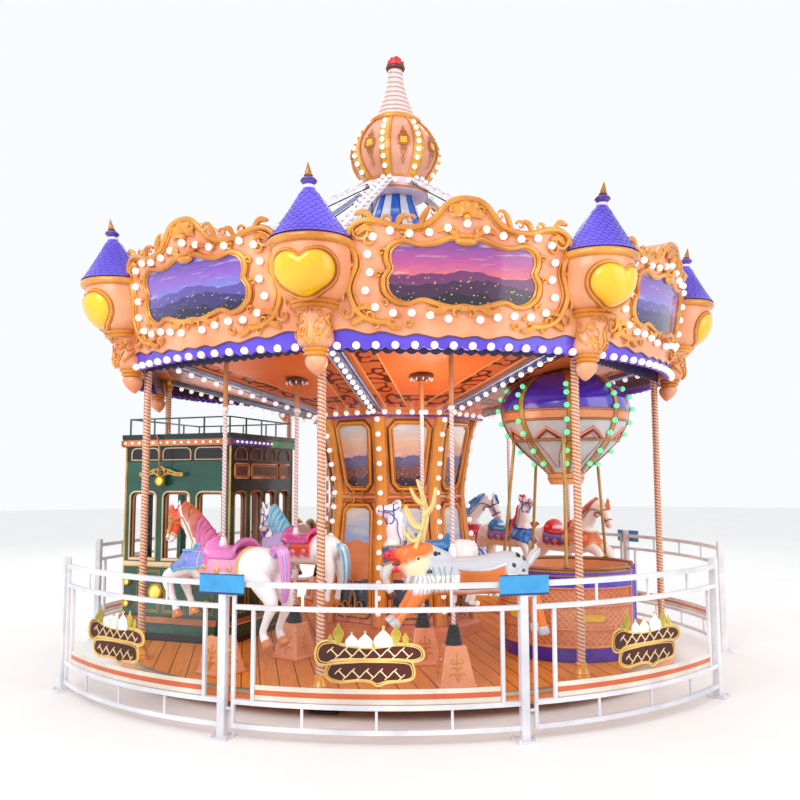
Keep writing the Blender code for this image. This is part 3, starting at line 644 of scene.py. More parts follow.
def painted_view(name, sky, hills, lights, scale=1.0):
    """A made-up painted view: banded clouds, three lines of hills and little lanterns."""
    made = Finish(name, Roughness=0.22, Coat_Weight=0.6)
    flat = made.place("UV")
    across, up, _ = made.axes(flat)
    stretch = made.node("ShaderNodeMapping", None, {"Vector": flat, "Scale": (2.2 * scale, 9.0, 1.0)})
    cloud = made.noise(1.7, 6.0, stretch)
    tone = made.node("ShaderNodeValToRGB",
                     {"stops": tuple((n / (len(sky) - 1), tint(c)) for n, c in enumerate(sky))},
                     {0: up + (cloud - 0.5) * 0.5})
    streak = (cloud - 0.56).math('MULTIPLY', 7.0, clamp=True)
    tone = made.mix(streak * 0.5, tone, tint(lights))
    for layer, (height, colour) in enumerate(zip((0.50, 0.36, 0.20), hills)):
        line = made.node("ShaderNodeCombineXYZ", None,
                         {0: across * (3.0 + layer * 2.0) * scale, 1: 4.7 * layer})
        ridge = made.noise(1.0, 3.0, line) * 0.42 + (height - 0.21)
        tone = made.mix(up < ridge, tone, tint(colour))
    dots = made.node("ShaderNodeTexVoronoi", None, {"Vector": flat, "Scale": 26.0 * scale})
    near = (dots < 0.16).math('MULTIPLY', up < 0.46)
    tone = made.mix(near * 0.8, tone, tint("ffd98a"))
    made.set(Base_Color=tone)
    return made.bump(made.noise(60.0), 0.06, 0.001).material


core_paint = painted("core_orange", "f49c62", "e27a3c", roughness=0.35, coat=0.25)
rib_paint = painted("rib_orange", "f8aa34", "e88a28", roughness=0.3, coat=0.3)
edge_line = painted("edge_brown", "6a2c16", "3c160c", roughness=0.45)
rose_line = painted("edge_rose", "d8485a", "a42a44", roughness=0.35)
violet_line = painted("edge_violet", "7a5ce0", "4c30b4", roughness=0.3)
core_views = [painted_view("core_view_low", ("26306e", "5a6ad2", "9ab8ec", "f4e6d2"),
                           ("4a4a8c", "2c3a5e", "182236"), "dfe8fa", 0.5),
              painted_view("core_view_high", ("7c5aa0", "d88ab0", "f6c8a0", "cfe2f2"),
                           ("6a6494", "7c4a4a", "3c2834"), "fff2e0", 0.5)]

glass = Finish("lamp_glass", Roughness=0.12, Coat_Weight=0.6, Emission_Strength=0.55)
glass.set(Base_Color=glass.mix(glass.noise(40.0), tint("fff6f2"), tint("f0e4ea")),
          Emission_Color=(1.0, 0.95, 0.93))
socket_paint = painted("lamp_socket", "e8c8bc", "c08a78", roughness=0.4)


def facing(point, outward):
    aim = Vector(outward).normalized().to_track_quat('Z', 'Y')
    return Matrix.Translation(point) @ aim.to_matrix().to_4x4()


def lamps(name, places, radius=0.032, ball=None, subdivisions=2):
    """Round bulbs in short sockets, one at each (point, outward) place, as one piece."""
    select_only()
    bpy.ops.mesh.primitive_ico_sphere_add(subdivisions=subdivisions, radius=radius)
    globe = dressed(bpy.context.object, ball or glass.material)
    globe.data.transform(Matrix.Translation((0, 0, radius * 0.95)))
    bpy.ops.object.shade_smooth()
    base = turned("socket", ((radius * 0.8, -0.004), (radius * 0.8, radius * 0.12),
                             (radius * 0.5, radius * 0.35)), 8)
    dressed(base, socket_paint)
    lamp = joined("lamp", [globe, base])
    return repeated(lamp, name, [facing(point, outward) for point, outward in places])


shell = lofted("core_shell", [circle(r, z, 8, phase=0.5) for z, r in CORE_PROFILE], angle=20.0)
fitted(dressed(shell, core_paint), "turntable", "orange_fibreglass", "centre_core")


def framed_picture(name, low, high, margin, cut, view):
    """One picture with its chamfered frame: a wide orange tube edged with dark lines of painted shade,
    and an inner gilt one.
    """
    def width(z):
        return core_radius(z) * math.sin(EIGHTH) - margin

    def outline(inset):
        w0, w1 = width(low) - inset, width(high) - inset
        return [(-w0 + cut, low + inset), (w0 - cut, low + inset), (w0, low + cut), (w1, high - cut),
                (w1 - cut, high - inset), (-w1 + cut, high - inset), (-w1, high - cut), (-w0, low + cut)]
    picture = lofted(name, [[on_core(x, z, d) for x, z in outline(0.012)] for d in (-0.01, 0.006)])
    picture_uv(dressed(picture, view), 0.42, low, high)
    border = dressed(tubes("frame", [[on_core(x, z, 0.010) for x, z in outline(0.0)]], 0.017, 2, True),
                     rib_paint)
    inner = dressed(tubes("inner", [[on_core(x, z, 0.014) for x, z in outline(0.022)]], 0.007, 1, True),
                    gilt)
    # The dark brown lines at both feet of the orange tube are painted shade.
    dark = dressed(tubes("dark", [[on_core(x, z, 0.006) for x, z in outline(o)] for o in (0.013, -0.022)],
                         0.006, 1, True), edge_line)
    return joined(name, [picture, border, inner, dark])


face_parts = [framed_picture("core_lower_picture", 0.40, 1.42, 0.095, 0.055, core_views[0]),
              framed_picture("core_upper_picture", 1.57, 2.20, 0.110, 0.060, core_views[1])]
scrolls = []
for mirror in (-1, 1):
    for cx, cz, start, size, turns in ((0.075, 0.50, 200, 0.055, 1.1), (0.05, 0.66, 160, 0.04, -1.0),
                                       (0.06, 1.455, 20, 0.030, 1.0), (0.06, 1.535, -20, 0.030, -1.0),
                                       (0.09, 0.36, 90, 0.03, 0.9)):
        scrolls.append([on_core(mirror * x, z, 0.028) for x, z in curl((cx, cz), start, size, turns)])
    scrolls.append([on_core(mirror * x, z, 0.03)
                    for x, z in ((0.0, 0.40), (0.035, 0.46), (0.03, 0.56), (0.0, 0.66), (0.01, 0.78))])
face_parts.append(dressed(tubes("face_scrolls", scrolls, 0.0105, 1, swell=thinning), gilt))
half = 0.70 * math.sin(EIGHTH) - 0.03
for z, look, size in ((1.495, peach, 0.022), (1.465, gilt, 0.008), (1.525, gilt, 0.008)):
    line = [on_core(x, z, 0.004) for x in (-half, 0.0, half)]
    face_parts.append(dressed(tubes("belt", [line], size, 2), look))
half = 0.80 * math.sin(EIGHTH) - 0.05
for z, look in ((0.33, rose_line), (1.445, rose_line), (2.235, gilt)):
    line = [on_core(x, z, 0.003) for x in (-half, half)]
    face_parts.append(dressed(tubes("line", [line], 0.006, 1), look))
core_face = joined("core_face", face_parts)
for side in range(8):
    fitted(copied(core_face, f"core_face_{side + 1}", turn(side * 45.0)), "turntable",
           "orange_fibreglass")
bpy.data.objects.remove(core_face)


def rib_ring(z, half_width, proud, sunk=0.03):
    """Section of a corner rib: rounded outside and sunk into the corner behind."""
    r = core_radius(z)
    points = [(-half_width, -sunk), (-half_width, -0.012), (-half_width * 0.72, proud * 0.55),
              (0.0, proud), (half_width * 0.72, proud * 0.55), (half_width, -0.012), (half_width, -sunk)]
    return [Vector((x, -r - y, z)) for x, y in points]


heights = [0.31 + k * (2.26 - 0.31) / 18 for k in range(19)]
rib = dressed(lofted("core_rib", [rib_ring(z, 0.062, 0.022) for z in heights], angle=50.0), rib_paint)
rib_edges = []
for mirror in (-1, 1):
    rib_edges.append(dressed(tubes("rib_edge",
                                   [[Vector((mirror * 0.064, -core_radius(z) + 0.010, z))
                                     for z in heights]], 0.009, 1), gilt))
    rib_edges.append(dressed(tubes("rib_rose",
                                   [[Vector((mirror * 0.080, -core_radius(z) + 0.022, z))
                                     for z in heights[:9]]], 0.005, 1), rose_line))
rib = joined("core_rib", [rib, *rib_edges])
corners = [turn(side * 45.0 + 22.5) for side in range(8)]
fitted(repeated(rib, "core_ribs", corners), "turntable", "orange_fibreglass")

ledge = lofted("core_ledge", [circle(r, z, 8, phase=0.5)
                              for r, z in ((0.79, 2.243), (0.865, 2.248), (0.875, 2.262), (0.868, 2.312),
                                           (0.880, 2.320), (0.84, 2.329))], angle=20.0)
dressed(ledge, peach)
ledge_lines = [dressed(tubes("ledge_line", [circle(0.886, z, 8, phase=0.5)], 0.010, 1, True), look)
               for z, look in ((2.254, violet_line), (2.318, gilt))]
fitted(joined("core_ledge", [ledge, *ledge_lines]), "turntable", "peach_fibreglass")

places = []
for side in range(8):
    way = turn(side * 45.0 + 22.5)
    places += [(way @ Vector((0, -core_radius(z) - 0.018, z)), way @ Vector((0, -1, 0))) for z in
               [0.44 + k * 0.137 for k in range(14)]]
    way = turn(side * 45.0)
    places += [(way @ Vector((x, -0.872 * math.cos(EIGHTH), 2.287)), way @ Vector((0, -1, 0)))
               for x in (-0.26, -0.13, 0.0, 0.13, 0.26)]
fitted(lamps("core_lamps", places, 0.026), "turntable", "orange_fibreglass")


# The ceiling: eight painted board panels that fall toward the core, over radial beams. The beams
# are folded steel with a row of bulbs, and a turned rose covers each rod's hole.
CEILING_FALL = ((0.95, 2.33), (2.50, 2.74), (2.65, 2.74))


def ceiling_height(radius, angle=22.5):
    """Height of the ceiling's underside over a place in plan."""
    off_middle = math.radians((angle + 22.5) % 45.0 - 22.5)
    return along_profile(CEILING_FALL, radius * math.cos(off_middle) / math.cos(EIGHTH))


ceiling_paint = Finish("ceiling_paint", Specular_IOR_Level=0.25, Coat_Weight=0.12, Coat_Roughness=0.15)
east, north, _ = ceiling_paint.axes()
bearing_turns = east.math('ARCTAN2', north * -1.0) * (4.0 / math.pi)
sector = (bearing_turns + 0.5).fract() - 0.5
reach = (east * east + north * north).math('SQRT')
side_way = reach * (sector * (math.pi / 4)).math('SINE')
out_way = reach * (sector * (math.pi / 4)).math('COSINE')
edge_gap = out_way * math.tan(EIGHTH) - side_way.math('ABSOLUTE')
lattice = ceiling_paint.node("ShaderNodeCombineXYZ", None, {0: side_way.math('ABSOLUTE'), 1: out_way})
swirl = ceiling_paint.node("ShaderNodeTexVoronoi", {"feature": 'SMOOTH_F1'},
                           {"Vector": lattice, "Scale": 9.0})
cloudy = ceiling_paint.noise(1.5, 4.0)
field = ceiling_paint.mix(cloudy, tint("e85a20"), tint("f88a48"))
border = ((edge_gap < 0.30).math('MULTIPLY', edge_gap > 0.12)).math('MAXIMUM',
    (out_way > 2.10).math('MULTIPLY', out_way < 2.30))
border = border.math('MAXIMUM', (out_way > 1.02).math('MULTIPLY', out_way < 1.16))
scrolled = border.math('MULTIPLY', (swirl > 0.34).math('MULTIPLY', swirl < 0.48))
field = ceiling_paint.mix(border * 0.35, field, tint("a83a18"))
field = ceiling_paint.mix(scrolled, field, tint("5a1c10"))
lines = ((edge_gap - 0.31).math('ABSOLUTE') < 0.008).math('MAXIMUM',
    (edge_gap - 0.11).math('ABSOLUTE') < 0.008)
lines = lines.math('MAXIMUM', (out_way - 2.31).math('ABSOLUTE') < 0.008)
ceiling_paint.set(Base_Color=ceiling_paint.mix(lines, field, tint("f2b46a")),
                  Roughness=cloudy * 0.2 + 0.2)
ceiling_paint.bump(scrolled, 0.2, 0.002)
dressed(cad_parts["ceiling"], ceiling_paint.material)

beam_metal = painted("beam_metal", "9fb0c8", "6f8098", roughness=0.3, metallic=0.5, coat=0.2)
beam_edge = painted("beam_edge", "e2e4ec", "b4bac8", roughness=0.25, metallic=0.4)
beam_line = painted("beam_line", "2c5ad0", "1c3a9c", roughness=0.3)
beam_steps = (0.90, 1.40, 1.95, 2.48)
beam = dressed(lofted("beam", [[Vector((x, -r, ceiling_height(r) + z)) for x, z in
                                ((-0.060, -0.0004), (-0.060, -0.036), (0.060, -0.036), (0.060, -0.0004))]
                               for r in beam_steps]), beam_metal)
beam_lines = [dressed(tubes("beam_line",
                            [[Vector((x, -r, ceiling_height(r) - 0.036)) for r in beam_steps]], 0.007, 1),
                      look) for x, look in ((-0.060, beam_edge), (0.060, beam_edge), (-0.042, beam_line),
                                            (0.042, beam_line))]
beam = joined("beam", [beam, *beam_lines])
fitted(repeated(beam, "ceiling_beams", corners), "turntable", "painted_steel")
places = [(way @ Vector((0, -1.0 - k * 0.117, ceiling_height(1.0 + k * 0.117) - 0.036)), (0, 0, -1))
          for way in corners for k in range(13)]
fitted(lamps("beam_lamps", places, 0.025), "turntable", "painted_steel")

rose_brown = painted("rose_brown", "7a3c20", "4a2012", roughness=0.35)
drop_glass = Finish("drop_glass", Roughness=0.08, Coat_Weight=0.8)
drop_glass.set(Base_Color=drop_glass.mix(drop_glass.noise(60.0), tint("dfe6ee"), tint("ffffff")))
rose = dressed(turned("rose", ((0.024, 0.012), (0.105, 0.012), (0.105, -0.010), (0.090, -0.016),
                               (0.078, -0.013), (0.060, -0.024), (0.040, -0.026), (0.036, -0.040),
                               (0.024, -0.040)), 24), rose_brown)
drops = []
for k in range(10):
    a = math.radians(36 * k)
    drops.append(turned("drop", ((0.004, -0.012), (0.008, -0.026), (0.006, -0.034), (0.001, -0.040)), 6,
                        (0.092 * math.sin(a), 0.092 * math.cos(a))))
rose = joined("rose", [rose, dressed(joined("drops", drops), drop_glass.material)])
rose_places = [foot @ Matrix.Translation((0, 0, ceiling_height(radius, angle) - 0.004))
               for foot, (_, radius, angle, _) in zip(feet, seats)]
fitted(repeated(rose, "rod_roses", rose_places), "turntable", "gilt_column")

HEM = 2.607                     # foot of the valances between their teeth
# The inner valance stands for the shaded back of the violet valance: its dark blue-violet is painted
# shade.
valance_back_shade = painted("inner_valance_shade", "2c2458", "1c1640", roughness=0.4)


def scallop_ring(x):
    """Section of a valance's back, painted dark as shade, with a toothed foot."""
    low = HEM - 0.022 * abs(math.sin(math.pi * x / 0.09))
    return [Vector((x, -2.412 - (z - 2.6) * 0.152 + d, z))
            for d, z in ((0.0, low), (0.0, 2.739), (0.010, 2.739), (0.010, low))]


scallops = dressed(lofted("inner_valance", [scallop_ring(-0.945 + k * 0.0105) for k in range(181)],
                          angle=30.0), valance_back_shade)
fitted(repeated(scallops, "inner_valance", [turn(side * 45.0) for side in range(8)]), "turntable",
       "orange_fibreglass")


# The cornice: eight leaning panels. Each is a peach board with a wavy foot over a violet valance,
# an outer and an inner rococo frame in gilt, a made-up painted view, and two lines of bulbs.
LEAN, LEAN_FOOT, TURRET_RADIUS, PANEL_HALF = 0.165, 2.48, 2.68, 1.02


def axis_radius(z):
    return TURRET_RADIUS + LEAN * (z - LEAN_FOOT)


def on_panel(x, z, proud=0.0):
    """A place on a bowed board; x runs along its bow from the middle."""
    return polar(axis_radius(z) - 0.02 + proud, 22.5 * x / PANEL_HALF, z)


def on_frame(x, z, proud=0.0):
    """A place on the cartouche, which is a little narrower than the board."""
    return on_panel(x * 0.92, z, proud)


def behind_panel(x, z):
    """A place on the board's straight back."""
    return Vector((on_panel(x, z).x, -(axis_radius(z) - 0.02) * math.cos(EIGHTH) + 0.045, z))


TOP_EDGE = ((0.0, 3.655), (0.065, 3.645), (0.13, 3.61), (0.185, 3.55), (0.25, 3.475), (0.33, 3.44),
            (0.46, 3.445), (0.57, 3.485), (0.68, 3.495), (0.775, 3.44), (0.83, 3.34), (1.03, 3.29))
FOOT_EDGE = ((0.0, 2.665), (0.10, 2.680), (0.18, 2.662), (0.32, 2.690), (0.42, 2.672), (0.56, 2.705),
             (0.66, 2.690), (0.80, 2.728), (0.92, 2.715), (1.03, 2.735))

board_peach = painted("board_peach", "f2b48a", "e58c5c", roughness=0.3, coat=0.35)
violet = painted("valance_violet", "6a4ee6", "4a30bc", roughness=0.3, coat=0.4)
foot_shade = painted("foot_shade", "8c4e58", "5c3040", roughness=0.4)
white_edge = painted("edge_white", "f6ecf0", "d6c4d4", roughness=0.3)
gold = painted("scroll_gold", "f6b24a", "c4701e", roughness=0.24, coat=0.55, metallic=0.2)
gold_deep = painted("scroll_gold_deep", "d8822c", "9c4c14", roughness=0.3, coat=0.4, metallic=0.2)
panel_views = [painted_view("panel_view_1", ("f8b07a", "e8705c", "b04a8c", "5c3c94"),
                            ("6a2c5e", "3c1840", "1a0c20"), "ffd0b0"),
               painted_view("panel_view_2", ("7cc8e8", "5a8ad8", "8a5ac0", "4a3494"),
                            ("5a4a9c", "34286a", "181438"), "e8d8fa"),
               painted_view("panel_view_3", ("f0906a", "c24a50", "6a2a4c", "30203c"),
                            ("34a0b8", "54202c", "1c0c14"), "f8a888")]


def smooth_edge(points, x):
    return along_profile(points, abs(x))


def board_ring(x):
    low = smooth_edge(FOOT_EDGE, x)
    high = smooth_edge(TOP_EDGE, x)
    front = [on_panel(x, low + (high - low) * k / 5, 0.006) for k in range(6)]
    return [*front, behind_panel(x, high), behind_panel(x, 2.741)]


TOP_EDGE, FOOT_EDGE = ([(p.x, p.y) for p in flowing([(x, z, 0.0) for x, z in edge], 5)]
                       for edge in (TOP_EDGE, FOOT_EDGE))
stations = [-1.0 + k * 0.0125 for k in range(161)]
board = dressed(lofted("board", [board_ring(x) for x in stations], angle=40.0), board_peach)
valance = []
for x in [-0.99 + k * 0.011 for k in range(181)]:
    low = HEM - 0.022 * abs(math.sin(math.pi * x / 0.09))
    valance.append([on_panel(x, z, d)
                    for d, z in ((-0.004, low), (-0.004, 2.78), (-0.03, 2.78), (-0.03, low))])
valance = dressed(lofted("valance", valance), violet)
foot_line = [on_panel(x, smooth_edge(FOOT_EDGE, x), 0.004) for x in stations]
foot_line = dressed(tubes("foot_line", [foot_line], 0.006, 1), foot_shade)

OUTER_FRAME = ((0.0, 3.635), (0.08, 3.625), (0.15, 3.585), (0.205, 3.52), (0.28, 3.455), (0.38, 3.425),
               (0.50, 3.43), (0.62, 3.468), (0.74, 3.475), (0.825, 3.42), (0.845, 3.33), (0.80, 3.24),
               (0.795, 3.16), (0.83, 3.08), (0.85, 3.00), (0.82, 2.90), (0.76, 2.82), (0.66, 2.775),
               (0.54, 2.765))
INNER_FRAME = ((0.0, 3.325), (0.10, 3.365), (0.22, 3.325), (0.34, 3.31), (0.46, 3.335), (0.555, 3.29),
               (0.575, 3.21), (0.555, 3.14), (0.595, 3.07), (0.585, 2.98), (0.515, 2.915), (0.42, 2.895),
               (0.32, 2.925), (0.20, 2.895), (0.10, 2.875), (0.0, 2.885))


def steps_round(count):
    """Angles of a full turn in equal steps."""
    return [math.tau * k / count for k in range(count)]


def mirrored(points):
    """The whole line from its right half, which runs from the top middle to the foot."""
    return [(-x, z) for x, z in reversed(points)] + [(x, z) for x, z in points[1:]]


def smooth_flat(points, steps=5, closed=False):
    return [(p.x, p.y) for p in flowing([(x, z, 0.0) for x, z in points], steps, closed)]


def closed_half(points, scale=1.0, middle=(0.0, 3.11)):
    whole = mirrored(points)[:-1]
    return [(middle[0] + (x - middle[0]) * scale, middle[1] + (z - middle[1]) * scale)
            for x, z in smooth_flat(whole, 5, True)]


outer = smooth_flat(mirrored(OUTER_FRAME))
outer_inner = [on_frame(x * 0.955, 3.09 + (z - 3.09) * 0.94, 0.014) for x, z in outer]
inner_line = [on_frame(x, z, 0.018) for x, z in closed_half(INNER_FRAME)]
inner_bead = [on_frame(x, z, 0.014) for x, z in closed_half(INNER_FRAME, 0.945)]
frame_lines = [tubes("outer", [[on_frame(x, z, 0.020) for x, z in outer]], 0.022, 2),
               tubes("outer_inner", [outer_inner], 0.010, 1),
               tubes("inner", [inner_line], 0.019, 2, True),
               tubes("inner_bead", [inner_bead], 0.009, 1, True)]
CURLS = ((0.745, 3.40, 60, 0.075, -1.35), (0.70, 3.345, 200, 0.04, 1.1), (0.90, 3.21, 150, 0.045, 1.1),
         (0.915, 3.05, 210, 0.045, -1.1), (0.865, 2.845, 150, 0.055, 1.2), (0.70, 2.815, 250, 0.04, -1.0),
         (0.56, 3.475, 20, 0.035, 1.0), (0.40, 3.475, 160, 0.035, -1.0), (0.245, 3.53, 40, 0.04, 1.0),
         (0.10, 3.555, 160, 0.035, -1.1), (0.30, 3.395, 120, 0.03, 1.0), (0.10, 3.40, 20, 0.04, 1.2),
         (0.055, 2.835, 150, 0.04, -1.1), (0.17, 2.850, 40, 0.03, 1.0), (0.50, 2.835, 200, 0.03, 1.0),
         (0.605, 3.255, 160, 0.03, -1.0), (0.63, 3.10, 160, 0.028, -1.0), (0.455, 3.365, 40, 0.028, 1.0),
         (0.585, 2.90, 30, 0.03, 1.0), (0.66, 2.745, 30, 0.04, 1.0), (0.42, 2.765, 150, 0.035, 1.0))
curls = [[on_frame(side * x, z, 0.026) for x, z in curl((cx, cz), start, size, turns, 12, 0.15)]
         for cx, cz, start, size, turns in CURLS for side in (-1, 1)]
frame_lines.append(tubes("curls", curls, 0.0135, 1, swell=thinning))
LEAVES = (((0.84, 3.30), (0.90, 3.36), (0.905, 3.43)), ((0.66, 3.47), (0.72, 3.53), (0.79, 3.52)),
          ((0.50, 3.43), (0.47, 3.49), (0.42, 3.51)), ((0.33, 3.44), (0.31, 3.50), (0.27, 3.57)),
          ((0.84, 3.02), (0.89, 2.98), (0.89, 2.92)), ((0.80, 3.18), (0.86, 3.15), (0.90, 3.12)),
          ((0.74, 2.80), (0.80, 2.78), (0.84, 2.755)), ((0.58, 2.77), (0.52, 2.735), (0.46, 2.73)),
          ((0.79, 2.86), (0.72, 2.88), (0.66, 2.85)), ((0.12, 2.88), (0.20, 2.845), (0.28, 2.87)),
          ((0.05, 3.36), (0.14, 3.42), (0.22, 3.40)), ((0.78, 3.38), (0.72, 3.42), (0.66, 3.40)))
leaf_lines = [[on_frame(side * x, z, 0.024) for x, z in smooth_flat(leaf, 4)] for leaf in LEAVES
              for side in (-1, 1)]
frame_lines.append(tubes("leaves", leaf_lines, 0.018, 1,
                         swell=lambda share: 0.25 + 1.1 * math.sin(math.pi * (0.12 + 0.8 * share))))


def fan(u, v):
    """The shell at the crest: fluted rays over a half circle."""
    a = math.pi * (u * 1.1 - 0.05)
    r = 0.02 + 0.100 * v
    flute = 0.012 * v * abs(math.cos(4.5 * math.pi * u)) + 0.020 * math.sin(math.pi * min(v, 0.95))
    return on_frame(-r * math.cos(a), 3.515 + r * math.sin(a), 0.012 + flute)


shell_fan = formed("fan", 36, 5, fan, 50.0)


def knob(at_z, wide, tall):
    """A carved oval knob on the middle line of the cartouche."""
    rings = []
    for r in (1.0, 0.85, 0.5, 0.1):
        rings.append([on_frame(wide * r * math.cos(a), at_z + tall * r * math.sin(a),
                               0.02 + 0.035 * (1 - r * r) ** 0.5) for a in steps_round(12)])
    return lofted("knob", rings, angle=60.0)


knobs = [knob(*place) for place in ((3.335, 0.085, 0.030), (3.372, 0.065, 0.022), (3.50, 0.03, 0.03),
                                    (2.865, 0.035, 0.030))]
gold_work = dressed(joined("gold_work", [*frame_lines, shell_fan, *knobs]), gold)
outer_shadow = [on_frame(x * 0.978, 3.09 + (z - 3.09) * 0.970, 0.008) for x, z in outer]
inner_shadows = [[on_frame(x, z, 0.010) for x, z in closed_half(INNER_FRAME, s)] for s in (1.045, 0.972)]
shadow_lines = dressed(joined("shadow", [tubes("shadow", [outer_shadow], 0.008, 1),
                                         tubes("shadow", inner_shadows, 0.007, 1, True)]), gold_deep)

inside = closed_half(INNER_FRAME, 0.96)
picture_rings = [[on_frame(x * s, 3.11 + (z - 3.11) * s, 0.0095) for x, z in inside]
                 for s in (1.0, 0.8, 0.6, 0.4, 0.2, 0.02)]
picture = lofted("picture", [[on_frame(x, z, 0.002) for x, z in inside], *picture_rings])
picture_uv(picture, 1.2, 2.87, 3.35)
soffit = [[on_panel(x, 2.722, -0.03), on_panel(x, 2.727, -0.03), behind_panel(x, 2.740),
           behind_panel(x, 2.735)] for x in stations[::4]]
soffit = dressed(lofted("soffit", soffit), ceiling_paint.material)
board = joined("board", [board, valance, foot_line, soffit])
gold_work = joined("gold_work", [gold_work, shadow_lines])
for side in range(8):
    way = turn(side * 45.0)
    fitted(copied(board, f"cornice_board_{side + 1}", way), "turntable", "peach_fibreglass",
           f"cornice_panel_{side + 1}")
    fitted(copied(gold_work, f"cornice_scrolls_{side + 1}", way), "turntable", "gilt_column")
    view = copied(picture, f"cornice_view_{side + 1}", way)
    fitted(dressed(view, panel_views[(0, 1, 2)[side % 3]]), "turntable", "orange_fibreglass")
for pattern in (board, gold_work, picture):
    bpy.data.objects.remove(pattern)

FRAME_LAMPS = ((0.14, 3.42), (0.27, 3.385), (0.41, 3.375), (0.545, 3.395), (0.665, 3.355), (0.705, 3.235),
               (0.690, 3.11), (0.725, 2.985), (0.655, 2.868), (0.525, 2.828), (0.39, 2.828),
               (0.255, 2.812), (0.12, 2.79))
places = []
for side in range(8):
    spots = [on_frame(0.0, 3.455, 0.008)] + [on_frame(m * x, z, 0.008) for x, z in FRAME_LAMPS
                                             for m in (-1, 1)]
    spots += [on_panel(-0.87 + k * 1.74 / 13, 2.607, -0.002) for k in range(14)]
    for spot in spots:
        outward = turn(side * 45.0) @ Vector((spot.x, spot.y, 0.12 * -spot.y))
        places.append((turn(side * 45.0) @ spot, outward.normalized()))
fitted(lamps("cornice_lamps", places, 0.029), "turntable", "peach_fibreglass")


# The corner turrets: peach fibreglass pots that lean out with the cornice. From the foot up they
# have a pendant, gilt rings, a scrolled capital, a bowl with a puffed heart, and a scaled cone.
BOWL = ((2.924, 0.176), (2.956, 0.215), (3.011, 0.252), (3.085, 0.275), (3.168, 0.286), (3.242, 0.286),
        (3.278, 0.281))
CAPITAL = ((2.602, 0.096), (2.622, 0.122), (2.650, 0.136), (2.690, 0.134), (2.740, 0.122), (2.790, 0.116),
           (2.830, 0.120), (2.861, 0.136))
CONE = ((3.338, 0.302), (3.42, 0.238), (3.52, 0.168), (3.62, 0.100), (3.715, 0.040))

cone_violet = painted("cone_violet", "6248d4", "452a9c", roughness=0.3, coat=0.4)
scale_violet = painted("scale_violet", "7058e6", "5238bc", roughness=0.3, coat=0.4)
heart_yellow = painted("heart_yellow", "fbd01c", "eeb00c", roughness=0.2, coat=0.6, peel=0.05)
spike_gold = painted("spike_gold", "d89c3c", "8a5018", roughness=0.25, metallic=0.4, coat=0.4)


def on_turret(profile, x, z, proud=0.0):
    """A point on the turret before it leans: x is measured round the body from its front."""
    r = along_profile(profile, z)
    return polar(r + proud, math.degrees(x / r), z)


def turret_part(name, profile, look, angle=35.0, sides=40):
    return dressed(turned(name, profile, sides, angle=angle), look)


parts = [turret_part("pendant", ((0.004, 2.402), (0.024, 2.414), (0.052, 2.440), (0.074, 2.470),
                                 (0.085, 2.502), (0.080, 2.528), (0.060, 2.545)), board_peach, 60.0),
         turret_part("lower_ring", ((0.068, 2.54), (0.086, 2.546), (0.092, 2.556), (0.086, 2.566),
                                    (0.078, 2.570), (0.090, 2.575), (0.099, 2.587), (0.092, 2.599),
                                    (0.080, 2.605)), gold, 60.0),
         turret_part("capital", [(r, z) for z, r in CAPITAL], board_peach, 60.0),
         turret_part("upper_ring", ((0.155, 2.860), (0.172, 2.866), (0.180, 2.877), (0.172, 2.887),
                                    (0.166, 2.891), (0.176, 2.895), (0.186, 2.907), (0.178, 2.920),
                                    (0.168, 2.925)), gold, 60.0),
         turret_part("bowl", [(r, z) for z, r in BOWL], board_peach, 60.0, 48),
         turret_part("rim", ((0.275, 3.276), (0.300, 3.280), (0.315, 3.292), (0.3195, 3.310),
                             (0.313, 3.327), (0.296, 3.338), (0.280, 3.342)), gold, 60.0, 48),
         turret_part("cone", [(r - 0.004, z) for z, r in CONE], cone_violet, 60.0, 40),
         turret_part("neck", ((0.034, 3.706), (0.044, 3.713), (0.047, 3.723), (0.042, 3.733),
                              (0.032, 3.738)), white_edge, 60.0, 24),
         turret_part("ball", ((0.032, 3.736), (0.050, 3.748), (0.058, 3.762), (0.052, 3.778),
                              (0.032, 3.792), (0.024, 3.794)), cone_violet, 60.0, 24),
         turret_part("ball_bands", ((0.052, 3.757), (0.060, 3.760), (0.060, 3.766), (0.052, 3.769)),
                     edge_line, 60.0, 24),
         turret_part("spike", ((0.024, 3.792), (0.034, 3.802), (0.026, 3.812), (0.024, 3.828),
                               (0.016, 3.850), (0.003, 3.894)), spike_gold, 60.0, 16)]

row_top, scale_length = 3.706, 0.044
for row in range(14):
    radius = along_profile(CONE, row_top)
    count = max(9, round(2 * math.pi * (radius + 0.012) / 0.052))
    arc = 360.0 / count

    def scale_point(share, down, proud):
        z = row_top - scale_length * down
        return polar(along_profile(CONE, max(z, 3.340)) + proud, share * arc * 1.04, max(z, 3.342))
    rings = []
    for share in (-0.48, -0.26, 0.0, 0.26, 0.48):
        tip = 0.62 + 0.55 * math.sqrt(1 - (share / 0.5) ** 2)
        rings.append([scale_point(share, 0.0, 0.001), scale_point(share, tip, 0.008),
                      scale_point(share, tip, 0.002), scale_point(share, 0.0, -0.006)])
    tile = dressed(lofted("scale", rings, angle=30.0), scale_violet)
    parts.append(repeated(tile, "scales", [turn(arc * (k + 0.5 * (row % 2))) for k in range(count)]))
    row_top -= scale_length * 0.60

HEART_HALF = ((0.0, 3.172), (0.05, 3.205), (0.12, 3.217), (0.18, 3.203), (0.228, 3.165), (0.246, 3.112),
              (0.232, 3.058), (0.19, 3.01), (0.12, 2.968), (0.05, 2.936), (0.0, 2.922))
HEART_MIDDLE = 3.08
heart = closed_half(HEART_HALF, 1.0, (0.0, HEART_MIDDLE))


def heart_shape(u, v):
    x, z = heart[round(u * len(heart)) % len(heart)]
    puff = 0.040 * math.sqrt(max(1 - v * v, 0.0)) ** 0.8
    return on_turret(BOWL, x * v, HEART_MIDDLE + (z - HEART_MIDDLE) * v, 0.004 + puff)


